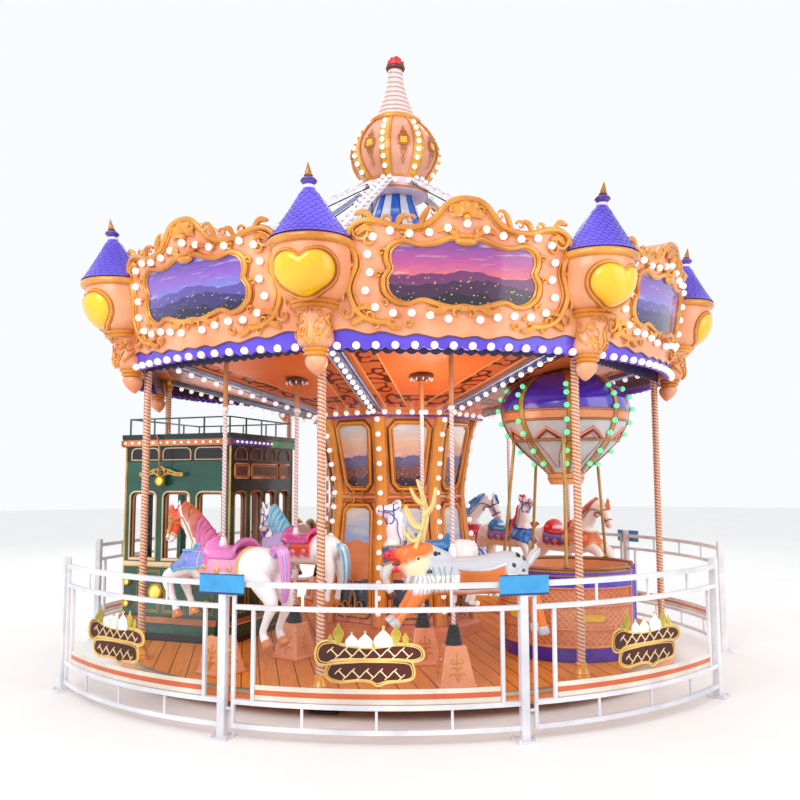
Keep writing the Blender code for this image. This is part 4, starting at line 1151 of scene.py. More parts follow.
parts.append(dressed(formed("heart", len(heart) // 2, 9, heart_shape, 80.0), heart_yellow))
# The darker gold lines on either side of the gold rim round the heart are painted shade.
for size, radius, proud, look in ((1.025, 0.007, 0.006, gold_deep), (1.095, 0.013, 0.004, gold),
                                  (1.165, 0.006, 0.001, gold_deep)):
    outline = [on_turret(BOWL, x, z, proud)
               for x, z in closed_half(HEART_HALF, size, (0.0, HEART_MIDDLE))[::2]]
    parts.append(dressed(tubes("heart_line", [outline], radius, 1, True), look))
lines = []
for mirror in (-1, 1):
    for cx, cz, start, size, turns_made in ((0.075, 2.794, 120, 0.050, -1.3),
                                            (0.055, 2.704, 200, 0.035, 1.2),
                                            (0.160, 2.780, 60, 0.045, 1.2),
                                            (0.025, 2.842, 30, 0.022, 1.0)):
        lines.append([on_turret(CAPITAL, mirror * x, z, 0.006)
                      for x, z in curl((cx, cz), start, size, turns_made, 12)])
    for stem in (((0.0, 2.618), (0.03, 2.672), (0.02, 2.744), (0.06, 2.808)),
                 ((0.04, 2.618), (0.09, 2.681), (0.12, 2.753)),
                 ((0.12, 2.654), (0.19, 2.726), (0.21, 2.818))):
        lines.append([on_turret(CAPITAL, mirror * x, z, 0.006) for x, z in smooth_flat(stem, 4)])
parts.append(dressed(tubes("capital_scrolls", lines, 0.0115, 1, swell=thinning), gold))
turret = joined("turret", parts)
for corner in turret.data.vertices:
    corner.co.y -= axis_radius(corner.co.z)
for side in range(8):
    fitted(copied(turret, f"turret_{side + 1}_moulding", turn(side * 45.0 + 22.5)), "turntable",
           "peach_fibreglass", f"turret_{side + 1}")
bpy.data.objects.remove(turret)


# The roof cover: eight gores of coated cloth, each half blue and half pale grey. They are stretched
# from the crown to the eaves behind the cornice, and white lamp rails lie over the corner ridges.
ROOF_RINGS = ((3.20, 1.0), (3.38, 0.90), (3.58, 0.70), (3.74, 0.50), (3.90, 0.28), (4.10, 0.165),
              (4.35, 0.11), (4.60, 0.075))
EAVES_APOTHEM = (axis_radius(3.20) - 0.02) * math.cos(EIGHTH) - 0.0504
EAVES_HALF = (2.50 - EAVES_APOTHEM * math.cos(math.pi / 8)) / math.sin(math.pi / 8)


roof_cloth = Finish("roof_cloth", Coat_Weight=0.15, Sheen_Weight=0.1)
fold = roof_cloth.node("ShaderNodeMapping", None,
                       {"Vector": roof_cloth.place(), "Rotation": (0.4, 0.7, 0.3),
                        "Scale": (1.0, 1.0, 4.0)})
crease = roof_cloth.noise(2.4, 5.0, fold)
weave = roof_cloth.node("ShaderNodeTexWave", None,
                        {"Vector": roof_cloth.place(), "Scale": 60.0, "Distortion": 1.0})
pale = (crease - 0.57).math('MULTIPLY', 9.0, clamp=True)
cloud = roof_cloth.noise(1.2)
across, _, _ = roof_cloth.axes(roof_cloth.place("UV"))
stripes = roof_cloth.mix(across > 0.5, roof_cloth.mix(cloud, tint("b9c0ca"), tint("dfe3ea")),
                         roof_cloth.mix(cloud, tint("1250b0"), tint("1a6ad8")))
roof_cloth.set(Base_Color=roof_cloth.mix(pale * 0.35, stripes, tint("ffffff")),
               Roughness=crease * 0.25 + 0.28)
roof_cloth.bump(crease + weave * 0.02, 0.5, 0.012)
seam_blue = painted("roof_seam", "174a9a", "0f3470", roughness=0.5, coat=0.0)
corner_in = turn(-22.5) @ Vector((EAVES_HALF, -EAVES_APOTHEM, 0.0))
across_points = [turn(-22.5) @ Vector((0.0, -EAVES_APOTHEM, 0.0)), corner_in,
                 Vector((-corner_in.x, corner_in.y, 0.0)),
                 turn(22.5) @ Vector((0.0, -EAVES_APOTHEM, 0.0))]


def across_roof(share):
    place = min(share * 3, 2.99999)
    k = int(place)
    return across_points[k].lerp(across_points[k + 1], place - k)


def gore_shape(u, v):
    place = v * (len(ROOF_RINGS) - 1)
    low = min(int(place), len(ROOF_RINGS) - 2)
    (za, sa), (zb, sb) = ROOF_RINGS[low], ROOF_RINGS[low + 1]
    share = place - low
    point = across_roof(u) * (sa + (sb - sa) * share)
    sag = 0.006 * math.sin(math.pi * u) * math.sin(math.pi * v)
    return Vector((point.x, point.y, za + (zb - za) * share - sag))


for side in range(8):
    gore = formed(f"roof_gore_{side + 1}", 12, 24, gore_shape, 60.0)
    placed(dressed(gore, roof_cloth.material), turn(side * 45.0 + 22.5))
    if side == 0:
        fitted(gore, "turntable", "tent_cloth", "roof_tent")
    else:
        fitted(gore, "turntable", "tent_cloth")
seam = dressed(tubes("roof_seams", [[gore_shape(1.0, k / 24) + Vector((0, 0, 0.003)) for k in range(25)]],
                     0.007, 1), seam_blue)
fitted(repeated(seam, "roof_seams", corners), "turntable", "tent_cloth")

tram_black = painted("soft_black", "17181a", "0a0a0c", roughness=0.4, coat=0.3)
clear_bulb = Finish("clear_bulb", Roughness=0.1, Coat_Weight=0.8, Emission_Strength=0.12)
clear_bulb.set(Base_Color=clear_bulb.mix(clear_bulb.noise(60.0), tint("c9ccd6"), tint("f2f2f6")),
               Emission_Color=(1.0, 0.97, 0.95))
rail_white = Finish("lamp_rail_white", Coat_Weight=0.2)
pierced = rail_white.node("ShaderNodeTexVoronoi", None, {"Vector": rail_white.place(), "Scale": 42.0})
rail_white.set(Base_Color=rail_white.mix(pierced < 0.22, tint("f4f2f6"), tint("8e90a0")),
               Roughness=rail_white.noise(8.0) * 0.2 + 0.3)
rail_line = [(0.33 + 2.12 * k / 6, 4.72 - 1.30 * k / 6) for k in range(7)]
rail_points = [(p.x, p.y) for p in flowing([(r, z, 0.0) for r, z in rail_line], 5)]
rail = lofted("lamp_rail",
              [[Vector((x, -r, z + d))
                for x, d in ((-0.055, 0.0), (-0.055, 0.022), (0.055, 0.022), (0.055, 0.0))]
               for r, z in rail_points])
stays = [[Vector((0.0, -r, z - 0.045)) for r, z in rail_line]]
for r, z in rail_line[2:]:
    roof_z = min(along_profile(sorted((s * 2.50, h) for h, s in ROOF_RINGS), r), z)
    stays.append([Vector((0.0, -r, z + 0.005)), Vector((0.0, -r, roof_z - 0.02))])
rail = joined("lamp_rail", [dressed(rail, rail_white.material),
                            dressed(tubes("stay", stays, 0.007, 1), tram_black)])
fitted(repeated(rail, "lamp_rails", corners), "turntable", "white_steel")
places = []
for way in corners:
    for r, z in rail_points[2:-3:2]:
        places += [(way @ Vector((m * 0.034, -r, z + 0.022)), (0, 0, 1)) for m in (-1, 1)]
fitted(lamps("rail_lamps", places, 0.026, clear_bulb.material), "turntable", "white_steel")


# The crown: a peach fibreglass bulb on the mast with eight gilt ribs, a column of bulbs beside each
# rib and a medallion on each gore, between a pink lamp band below and a gilt roll above.
CROWN = ((4.62, 0.295), (4.65, 0.333), (4.73, 0.335), (4.755, 0.305), (4.80, 0.345), (4.88, 0.405),
         (4.96, 0.445), (5.04, 0.462), (5.12, 0.452), (5.20, 0.420), (5.28, 0.375), (5.35, 0.320),
         (5.40, 0.262))
crown_peach = painted("crown_peach", "f0b596", "e0946c", roughness=0.3, coat=0.35)
band_pink = painted("band_pink", "f4dade", "e0b4bc", roughness=0.35)
medal_yellow = painted("medal_yellow", "f2c832", "d89a18", roughness=0.25, coat=0.5)


def on_crown(angle, z, proud=0.0):
    return polar(along_profile(CROWN, z) + proud, angle, z)


def crown_shape(u, v):
    z = 4.755 + (5.405 - 4.755) * v
    return on_crown(360 * u, z, 0.010 * abs(math.cos(4 * math.pi * u)) - 0.010)


crown_steps = [4.765 + k * 0.04 for k in range(17)]
parts = [dressed(formed("crown_body", 64, 24, crown_shape, 60.0), crown_peach),
         dressed(turned("crown_under", ((0.10, 4.605), (0.30, 4.605), (0.330, 4.62), (0.330, 4.70)), 40),
                 band_pink),
         dressed(turned("crown_band", ((0.30, 4.630), (0.333, 4.636), (0.336, 4.735), (0.312, 4.752),
                                       (0.25, 4.757)), 40, angle=50.0), band_pink),
         dressed(tubes("band_lines", [circle(0.336, 4.642, 40), circle(0.322, 4.756, 40)], 0.011, 1,
                       True), gold),
         dressed(turned("crown_roll", ((0.20, 5.395), (0.262, 5.398), (0.280, 5.415), (0.280, 5.438),
                                       (0.262, 5.457), (0.20, 5.459)), 40, angle=60.0), gold),
         dressed(turned("mast", ((0.10, 2.3603), (0.10, 4.64)), 24), beam_metal)]
RIBBON = ((-0.055, -0.01), (-0.055, 0.010), (0.030, 0.010), (0.030, -0.01))
ribbon = lofted("rib", [[on_crown(math.degrees(x / 0.44), z, d) for x, d in RIBBON] for z in crown_steps],
                angle=60.0)
dressed(ribbon, medal_yellow)
ridges = [[on_crown(math.degrees(x / 0.44), z, 0.012) for z in crown_steps] for x in (0.036, -0.062)]
ridge = dressed(tubes("ridge", ridges, 0.011, 1), gold)
parts.append(repeated(joined("rib", [ribbon, ridge]), "ribs", corners))
SQUARE = ((-0.044, 5.03), (0.0, 5.022), (0.044, 5.03), (0.050, 5.075), (0.044, 5.12), (0.0, 5.128),
          (-0.044, 5.12), (-0.050, 5.075))
square = [on_crown(math.degrees(x / 0.45), z, 0.014) for x, z in smooth_flat(SQUARE, 4, True)]
medal_lines = [tubes("medal_frame", [square], 0.010, 1, True)]
flourishes = (curl((0.018, 5.165), 270, 0.018, 1.1, 8), curl((0.016, 4.985), 90, 0.018, -1.1, 8),
              ((0.0, 4.995), (0.022, 4.95), (0.004, 4.92), (0.018, 4.89), (0.002, 4.85)),
              ((0.0, 5.13), (0.012, 5.20), (0.0, 5.24)))
pendant_lines = [[on_crown(math.degrees(m * x / 0.45), z, 0.012) for x, z in line]
                 for m in (-1, 1) for line in flourishes]
medal_lines.append(tubes("medal_pendant", pendant_lines, 0.006, 1, swell=thinning))
PLATE = ((-0.034, 5.04), (0.034, 5.04), (0.034, 5.11), (-0.034, 5.11))
plate = lofted("medal_plate", [[on_crown(math.degrees(x / 0.45), z, d) for x, z in PLATE]
                               for d in (-0.01, 0.012)])
medal = joined("medal", [dressed(joined("lines", medal_lines), gold_deep), dressed(plate, medal_yellow)])
parts.append(repeated(medal, "medals", [turn(side * 45.0) for side in range(8)]))
fitted(joined("crown", parts), "turntable", "peach_fibreglass", "mast_and_crown")
places = []
for side in range(8):
    rib_at = side * 45.0 + 22.5
    places += [(on_crown(rib_at - math.degrees(0.030 / 0.44), z, 0.008), polar(1.0, rib_at - 4.0))
               for z in (4.83, 4.91, 4.99, 5.07, 5.15, 5.23, 5.31)]
    places += [(polar(0.334, side * 45.0 + a, 4.692), polar(1.0, side * 45.0 + a))
               for a in (-11.25, 11.25)]
fitted(lamps("crown_lamps", places, 0.026), "turntable", "peach_fibreglass")


# The spire: a cone of puffed rings wound up in pale pink, cream and lilac, with a red rose in a
# dark cup at its tip.
SPIRE = ((5.4603, 0.232), (5.58, 0.182), (5.73, 0.128), (5.87, 0.096), (6.03, 0.078))
SPIRE_TURNS = 10
spire_paint = Finish("spire_paint", Coat_Weight=0.35)
round_it, along, _ = spire_paint.axes(spire_paint.place("UV"))
phase = (along * SPIRE_TURNS + round_it).fract()
# The dark brown at both ends of the ramp falls in the grooves between the puffed rings: painted shade.
stripe = spire_paint.node("ShaderNodeValToRGB",
                          {"stops": ((0.0, tint("8a5a54")), (0.08, tint("d8b8b8")),
                                     (0.35, tint("f6dccc")), (0.62, tint("f2c4b8")),
                                     (0.86, tint("c8b0cc")), (1.0, tint("8a5a54")))}, {0: phase})
spire_paint.set(Base_Color=stripe, Roughness=spire_paint.noise(8.0) * 0.2 + 0.25)


def spire_shape(u, v):
    z = 5.4603 + (6.03 - 5.4603) * v
    swell = 0.93 + 0.07 * abs(math.sin(math.pi * (SPIRE_TURNS * v + u)))
    return polar(along_profile(SPIRE, z) * swell, 360 * u, z)


parts = [dressed(formed("spire_body", 40, 120, spire_shape, 70.0), spire_paint.material),
         dressed(turned("spire_cup", ((0.060, 6.015), (0.092, 6.022), (0.105, 6.045), (0.100, 6.066),
                                      (0.085, 6.07)), 28, angle=60.0), edge_line)]
rose_red = painted("rose_red", "e8222c", "a80c1c", roughness=0.3, coat=0.4)
for petals, radius, low, height, lift in ((6, 0.098, 6.045, 0.07, 0.0), (5, 0.078, 6.07, 0.075, 30.0),
                                          (4, 0.052, 6.09, 0.08, 10.0)):
    arc = math.radians(360.0 / petals) * 0.68

    def petal_shape(u, v, radius=radius, low=low, height=height, arc=arc):
        a = (u - 0.5) * 2 * arc * (1 - 0.55 * v ** 3)
        r = radius * (0.70 + 0.30 * math.sin(math.pi * min(v * 0.75, 0.6))) - 0.010 * abs(u - 0.5)
        return Vector((r * math.sin(a), -r * math.cos(a), low + height * (v - 0.10 * (2 * u - 1) ** 2)))
    petal = formed("petal", 6, 5, petal_shape, 80.0)
    select_only(petal)
    thick = petal.modifiers.new("Solidify", 'SOLIDIFY')
    thick.thickness = 0.004
    bpy.ops.object.modifier_apply(modifier="Solidify")
    parts.append(repeated(dressed(petal, rose_red), "petals",
                          [turn(360.0 / petals * k + lift) for k in range(petals)]))
parts.append(dressed(turned("bud", ((0.02, 6.06), (0.045, 6.10), (0.036, 6.155), (0.012, 6.186)), 14,
                            angle=80.0), rose_red))
fitted(joined("spire_and_rose", parts), "turntable", "peach_fibreglass", "spire")


# The balloon ride: a gored fibreglass balloon under the ceiling, with gilt ribs and green bulbs.
# A steel hoop and four brass poles join it to a round basket with a bench and a doorway.
GONDOLA = Matrix.Translation(polar(1.85, 45.0)) @ turn(62.0)
BALLOON = ((1.715, 0.165), (1.74, 0.185), (1.865, 0.330), (1.985, 0.447), (2.08, 0.508), (2.17, 0.548),
           (2.27, 0.5645), (2.34, 0.560), (2.41, 0.530), (2.47, 0.475), (2.54, 0.395), (2.635, 0.20),
           (2.66, 0.05))
RIB_PHASE = 11.3

balloon_violet = painted("balloon_violet", "5636c8", "3a1f9c", roughness=0.12, coat=0.9, peel=0.02)
balloon_grey = painted("balloon_grey", "d8d4d2", "b4b0b4", roughness=0.25, coat=0.5)
orange_band = painted("orange_band", "f0a066", "d87840", roughness=0.25, coat=0.5)
rib_gold = painted("rib_gold", "d8a244", "a06a22", roughness=0.3, coat=0.4, metallic=0.15)
chevron_rose = painted("chevron_rose", "f2a48c", "e07c5c", roughness=0.3, coat=0.4)
green_glass = Finish("green_glass", Roughness=0.12, Coat_Weight=0.6, Emission_Strength=0.7)
green_glass.set(Base_Color=green_glass.mix(green_glass.noise(40.0), tint("7ef0b4"), tint("48d890")),
                Emission_Color=(*tint("6cf0a8"), 1.0))
brass = painted("brass_tube", "cfa860", "94702c", roughness=0.25, metallic=0.7, coat=0.3)
hoop_brown = painted("hoop_brown", "b07a48", "7c4c26", roughness=0.35, coat=0.3)


def on_balloon(angle, z, proud=0.0):
    return polar(along_profile(BALLOON, z) + proud, angle, z)


def zone(name, low, high, rows, look, proud=0.0):
    heights = [low + (high - low) * k / rows for k in range(rows + 1)]

    def place(u, v):
        return on_balloon(360 * u, heights[round(v * rows)], proud)
    return dressed(formed(name, 48, rows, place, 70.0), look)


parts = [zone("balloon_top", 2.25, 2.66, 14, balloon_violet),
         zone("balloon_low", 1.715, 2.16, 16, balloon_grey),
         zone("balloon_band", 2.157, 2.257, 4, orange_band, 0.004)]
for z in (2.159, 2.172, 2.242, 2.256):
    ring = [on_balloon(7.5 * k, z, 0.004) for k in range(48)]
    parts.append(dressed(tubes("band_line", [ring], 0.005, 1, True), hoop_brown))
rib_steps = [1.72 + k * 0.0395 for k in range(24)]


def beside_rib(x, z, proud):
    """A place at a distance x round the balloon from the middle of a rib."""
    return on_balloon(math.degrees(x / max(along_profile(BALLOON, z), 0.3)), z, proud)


RIB_SECTION = ((-0.024, -0.006), (-0.022, 0.009), (0.022, 0.009), (0.024, -0.006))
rib = lofted("rib", [[beside_rib(x, z, d) for x, d in RIB_SECTION] for z in rib_steps], angle=60.0)
dressed(rib, rib_gold)
rib_lines = [[beside_rib(x, z, 0.007) for z in rib_steps] for x in (-0.025, 0.025)]
rib_lines = dressed(tubes("rib_lines", rib_lines, 0.004, 1), hoop_brown)
rib_places = [turn(RIB_PHASE + 45.0 * k) for k in range(8)]
parts.append(repeated(joined("rib", [rib, rib_lines]), "ribs", rib_places))
chevrons = []
for k in range(8):
    middle = RIB_PHASE + 45.0 * k + 22.5
    for size, radius, look in ((1.0, 0.013, chevron_rose), (0.72, 0.008, edge_line),
                               (0.50, 0.009, chevron_rose)):
        line = [on_balloon(middle + x * size, 2.0 + 0.10 * size * (1 - abs(x) / 18.0), 0.003)
                for x in (-18, -12, -6, 0, 6, 12, 18)]
        chevrons.append(dressed(tubes("chevron", [line], radius, 1), look))
    seams = [[on_balloon(middle + m * x, z, 0.002) for x, z in ((15, 1.98), (8, 1.86), (3, 1.76))]
             for m in (-1, 1)]
    chevrons.append(dressed(tubes("seam", seams, 0.004, 1), hoop_brown))
parts += chevrons
parts.append(dressed(turned("balloon_cup", ((0.10, 1.612), (0.140, 1.612), (0.156, 1.645), (0.165, 1.70),
                                            (0.172, 1.712), (0.165, 1.726), (0.12, 1.726)), 32,
                            angle=40.0), orange_band))
parts.append(dressed(tubes("cup_line", [circle(0.160, 1.665, 32), circle(0.170, 1.712, 32)], 0.006, 1,
                           True), hoop_brown))
balloon = placed(joined("balloon_shell", parts), GONDOLA)
for corner in balloon.data.vertices:
    x, y, z = corner.co
    corner.co.z = min(z, ceiling_height(math.hypot(x, y), math.degrees(math.atan2(x, -y))) - 0.001)
fitted(balloon, "turntable", "balloon_shell", "balloon")
places = []
for k in range(8):
    for z in (1.80, 1.91, 2.05, 2.155, 2.275, 2.385, 2.46):
        at = RIB_PHASE + 45.0 * k - 3.2
        places.append((GONDOLA @ on_balloon(at, z, 0.008),
                       GONDOLA.to_3x3() @ polar(1.0, at, -0.35 if z < 2.0 else 0.1)))
fitted(lamps("balloon_lamps", places, 0.024, green_glass.material), "turntable", "balloon_shell")

POLE_ANGLES = (-157.0, -85.0, 59.0, 131.0)
parts = [dressed(tubes("hoop", [circle(0.466, 1.995, 48)], 0.0135, 3, True), hoop_brown)]
for angle in POLE_ANGLES:
    line = [polar(0.466, angle, 1.995), polar(0.5215, angle, 1.465), polar(0.577, angle, 0.936)]
    parts.append(dressed(tubes("pole", [line], 0.014, 4), brass))
    foot_at = polar(0.577, angle)
    parts.append(dressed(turned("pole_foot",
                                ((0.030, 0.9355), (0.030, 0.942), (0.018, 0.950), (0.017, 0.975)), 14,
                                (foot_at.x, foot_at.y)), brass))
    clip_at = polar(0.466, angle)
    parts.append(dressed(turned("pole_clip", ((0.020, 1.965), (0.020, 2.005), (0.012, 2.010)), 12,
                                (clip_at.x, clip_at.y)), brass))
fitted(placed(joined("balloon_hoop_and_poles", parts), GONDOLA), "turntable", "brass_tube",
       "balloon_frame")

WALL = ((0.1703, 0.560), (0.30, 0.585), (0.45, 0.600), (0.935, 0.602))
DOOR_HALF = 21.5
basket_violet = painted("basket_violet", "5a3cd0", "3c22a0", roughness=0.25, coat=0.5)
basket_orange = painted("basket_orange", "f0a070", "dc7c48", roughness=0.3, coat=0.4)
lattice_orange = painted("lattice_orange", "f6b88c", "e08c5c", roughness=0.35, coat=0.3)
bench_red = painted("bench_paint", "c85a3c", "9a3c24", roughness=0.4, coat=0.2)


def wall_radius(z):
    return along_profile(WALL, z)


def swept_wall(name, section, start, end, look, steps=44, angle=40.0):
    """A section of (radius, height) points swept round the basket between two angles."""
    rings = [[polar(r, start + (end - start) * k / steps, z) for r, z in section]
             for k in range(steps + 1)]
    return dressed(lofted(name, rings, angle=angle), look)


def round_basket(radius, z):
    """A line round the basket from one side of its doorway to the other."""
    return [polar(radius, DOOR_HALF + (360 - 2 * DOOR_HALF) * k / 44, z) for k in range(45)]


def belt(low, high, proud, look):
    section = ((wall_radius(low) - 0.02, low), (wall_radius(low) + proud, low),
               (wall_radius(high) + proud, high), (wall_radius(high) - 0.02, high))
    return swept_wall("belt", section, DOOR_HALF, 360 - DOOR_HALF, look)


parts = [swept_wall("wall", ((0.535, 0.20), (0.555, 0.175), (0.575, 0.28), (0.592, 0.45), (0.592, 0.90),
                             (0.552, 0.90), (0.535, 0.26)), DOOR_HALF, 360 - DOOR_HALF, basket_orange),
         dressed(turned("basket_floor", ((0.556, 0.1703), (0.570, 0.22), (0.53, 0.222)), 48), bench_red),
         swept_wall("sill", ((0.53, 0.20), (0.566, 0.20), (0.574, 0.258), (0.53, 0.258)), -DOOR_HALF,
                    DOOR_HALF, basket_violet, 10),
         swept_wall("bench", ((0.545, 0.215), (0.31, 0.215), (0.31, 0.44), (0.30, 0.455), (0.305, 0.478),
                              (0.33, 0.482), (0.548, 0.482)), 47, 313, bench_red),
         belt(0.178, 0.292, 0.008, basket_violet), belt(0.775, 0.895, 0.008, basket_violet)]
for z, look, size in ((0.296, gold, 0.009), (0.306, chevron_rose, 0.006), (0.44, orange_band, 0.008),
                      (0.625, orange_band, 0.008), (0.768, chevron_rose, 0.007),
                      (0.898, hoop_brown, 0.008)):
    parts.append(dressed(tubes("moulding", [round_basket(wall_radius(z) + 0.004, z)], size, 1), look))
lattice = []
for low, high in ((0.312, 0.434), (0.448, 0.617), (0.633, 0.762)):
    lean = (high - low) / 0.60 * 57.3 * 1.1
    for k in range(56):
        at = DOOR_HALF + 2.0 + k * (360 - 2 * DOOR_HALF - 4.0 - lean) / 55
        for first, last in ((at, at + lean), (at + lean, at)):
            lattice.append([polar(wall_radius(low + (high - low) * t) - 0.003, first + (last - first) * t,
                                  low + (high - low) * t) for t in (0.0, 0.5, 1.0)])
parts.append(dressed(tubes("lattice", lattice, 0.0048, 0), lattice_orange))
for angle in (66.0, 126.0, 234.0, 294.0, 180.0):
    plate_outline = ((-0.13, 0.532), (-0.10, 0.50), (0.10, 0.50), (0.13, 0.532), (0.10, 0.566),
                     (-0.10, 0.566))
    for grow, proud, look in ((1.0, 0.010, gold), (0.86, 0.014, medal_yellow)):
        rings = [[polar(0.597 + d, angle + math.degrees(x * grow / 0.6), 0.533 + (z - 0.533) * grow)
                  for x, z in plate_outline] for d in (-0.012, proud)]
        parts.append(dressed(lofted("basket_plate", rings), look))
for side in (-1, 1):
    at = side * (DOOR_HALF + 1.6)
    parts.append(placed(dressed(block("jamb", (-0.020, -0.612, 0.20), (0.020, -0.540, 0.90), 0.005),
                                basket_violet), turn(at)))
    parts.append(placed(dressed(block("jamb_line", (-0.005, -0.614, 0.22), (0.005, -0.590, 0.89), 0.002),
                                chevron_rose), turn(at + side * 2.8)))
rails = [round_basket(0.577, 0.920), round_basket(0.597, 0.868)]
for side in (-1, 1):
    rails.append([polar(0.577, side * DOOR_HALF + math.degrees(-side * y / 0.577), z)
                  for y, z in curl((0.0, 0.897), 90, 0.023, 1.2, 10)])
parts.append(dressed(tubes("rail", rails, 0.0145, 3), hoop_brown))
fitted(placed(joined("basket", parts), GONDOLA), "turntable", "orange_fibreglass", "gondola_basket")


# The tram: a small covered car in bottle green with gilt lining, arched windows over panelled
# sides, a round headlamp, a hanging lamp on a gilt bracket, and a railing round its roof.
TRAM = Matrix.Translation(polar(1.868, -98.2)) @ turn(-31.0)
HALF_W, HALF_L = 0.58, 0.60

tram_green = painted("tram_green", "17604a", "0c3a30", roughness=0.25, coat=0.5)
tram_dark = painted("tram_dark", "18302c", "0b1513", roughness=0.3, coat=0.4)
cream = painted("tram_cream", "f2dcb8", "d8b484", roughness=0.35, coat=0.3)
post_brown = painted("tram_post_brown", "c87c48", "8e4c26", roughness=0.35, coat=0.3)
tram_gold = painted("tram_gold", "e8c060", "b08428", roughness=0.28, coat=0.4, metallic=0.3)
bright_green = painted("strip_green", "2cc084", "189460", roughness=0.3, coat=0.4)
lamp_yellow = Finish("lamp_yellow", Roughness=0.15, Coat_Weight=0.6, Emission_Strength=0.35)
lamp_yellow.set(Base_Color=lamp_yellow.mix(lamp_yellow.noise(30.0), tint("fbe97a"), tint("f2d23c")),
                Emission_Color=(*tint("fbe060"), 1.0))

tram_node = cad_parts["tram_car"]
dressed(tram_node, tram_green)


def on_face(face, s, z, proud=0.0):
    """A point on one side of the car: 0 the wide front, 1 the core side, 2 the back, 3 the door side."""
    return (Vector((s, -HALF_L - proud, z)), Vector((HALF_W + proud, s, z)),
            Vector((-s, HALF_L + proud, z)), Vector((-HALF_W - proud, -s, z)))[face]


def face_plate(face, outline, back, front, look, name="plate"):
    return dressed(lofted(name, [[on_face(face, s, z, d) for s, z in outline] for d in (back, front)]),
                   look)


def strip_plate(face, first, last, low, high, back, front, look, name="plate"):
    """An upright oblong plate between two places along a side of the car."""
    outline = [(first, low), (last, low), (last, high), (first, high)]
    return face_plate(face, outline, back, front, look, name)


def arched(s, half, low, high, rise, steps=6):
    """Outline of an opening whose top corners are rounded."""
    points = [(s - half, low), (s + half, low)]
    for k in range(steps + 1):
        a = math.pi / 2 * k / steps
        points.append((s + half - rise + rise * math.cos(a), high - rise + rise * math.sin(a)))
    for k in range(steps + 1):
        a = math.pi / 2 * (1 + k / steps)
        points.append((s - half + rise + rise * math.cos(a), high - rise + rise * math.sin(a)))
    return points


def lining(face, outline, proud, size, look):
    return dressed(tubes("lining", [[on_face(face, s, z, proud) for s, z in outline]], size, 1, True),
                   look)


WINDOWS = {0: ((-0.375, 0.14), (0.0, 0.14), (0.375, 0.14)),
           2: ((-0.375, 0.14), (0.0, 0.14), (0.375, 0.14)),
           1: ((-0.42, 0.09), (-0.14, 0.09), (0.14, 0.09), (0.42, 0.09)),
           3: ((-0.42, 0.09), (0.42, 0.09))}
trim = []
for face, windows in WINDOWS.items():
    wide = face in (0, 2)
    reach = HALF_W if wide else HALF_L
    lining_paint = cream if wide else post_brown
    for s, half in windows:
        for m in (-1, 1):
            corner = [(s + m * half, 1.545)] + [(s + m * (half - 0.055 + 0.055 * math.cos(a)),
                                                 1.545 - 0.055 + 0.055 * math.sin(a))
                                                for a in [math.pi / 2 * k / 6 for k in range(7)]]
            trim.append(face_plate(face, corner, -0.040, -0.001, tram_green if wide else tram_dark,
                                   "corner"))
        trim.append(lining(face, arched(s, half + 0.010, 0.910, 1.555, 0.06), 0.004, 0.008, lining_paint))
        trim.append(lining(face, arched(s, half - 0.006, 0.926, 1.539, 0.05), -0.030, 0.013, post_brown))
        trim.append(strip_plate(face, s - half, s + half, 0.915, 0.93, -0.05, 0.012, cream,
                                "window_sill"))
    edge = reach - 0.002
    if face in (1, 3):
        trim.append(strip_plate(face, -edge, edge, 1.555, 1.983, -0.005, 0.0035, tram_dark,
                                "dark_fascia"))
    trim.append(strip_plate(face, -edge, edge, 1.842, 1.981, -0.005, 0.005, tram_black, "light_band"))
    quarters = (-0.36, 0.0, 0.36) if wide else (-0.42, -0.14, 0.14, 0.42)
    for s in quarters:
        pane = arched(s, 0.155 if wide else 0.105, 1.856, 1.968, 0.05 if wide else 0.075)
        trim.append(lining(face, pane, 0.007, 0.0065, lining_paint))
    trim.append(strip_plate(face, -reach - 0.04, reach + 0.04, 1.990, 2.045, 0.0, 0.040,
                            orange_band if face in (0, 3) else basket_violet, "cornice_strip"))
    trim.append(strip_plate(face, -reach - 0.03, reach + 0.03, 2.060, 2.097, 0.0, 0.038, tram_dark,
                            "roof_edge"))
    for low, high, proud, look in ((0.858, 0.895, 0.016, cream), (0.846, 0.858, 0.010, tram_gold),
                                   (0.345, 0.385, 0.030, post_brown), (0.335, 0.345, 0.034, cream)):
        if face == 3:
            spans = ((-edge, -0.25), (0.25, edge))
        else:
            spans = ((-edge, edge),)
        for first, last in spans:
            trim.append(strip_plate(face, first, last, low, high, -0.01, proud, look, "moulding"))
    panels = ((-0.42, -0.17), (-0.12, 0.13), (0.18, 0.43))
    if not wide:
        panels = ((-0.56, -0.30), (-0.26, -0.02), (0.02, 0.26), (0.30, 0.56))
    if face == 3:
        panels = ((-0.56, -0.28), (0.28, 0.56))
    for first, last in panels:
        for grow in (0.0, 0.016):
            box_line = [(first + grow, 0.43 + grow), (last - grow, 0.43 + grow),
                        (last - grow, 0.815 - grow), (first + grow, 0.815 - grow)]
            trim.append(lining(face, box_line, 0.003, 0.0042, tram_gold))
for x in (-1, 1):
    for y in (-1, 1):
        bead = [Vector((x * (HALF_W + 0.002), y * (HALF_L + 0.002), z)) for z in (0.39, 1.985)]
        trim.append(dressed(tubes("corner_bead", [bead], 0.010, 1), tram_gold))
# The skirt's black stands for the shade under the fender down to the deck: painted shade.
skirt_low = dressed(block("skirt", (-0.600, -0.620, 0.172), (0.600, 0.620, 0.235), 0.004), tram_black)
trim.append(skirt_low)
for first, last, look in ((-0.60, 0.10, basket_violet), (0.10, 0.64, bright_green)):
    trim.append(strip_plate(1, first, last, 1.988, 2.047, 0.01, 0.0415, look, "coloured_strip"))
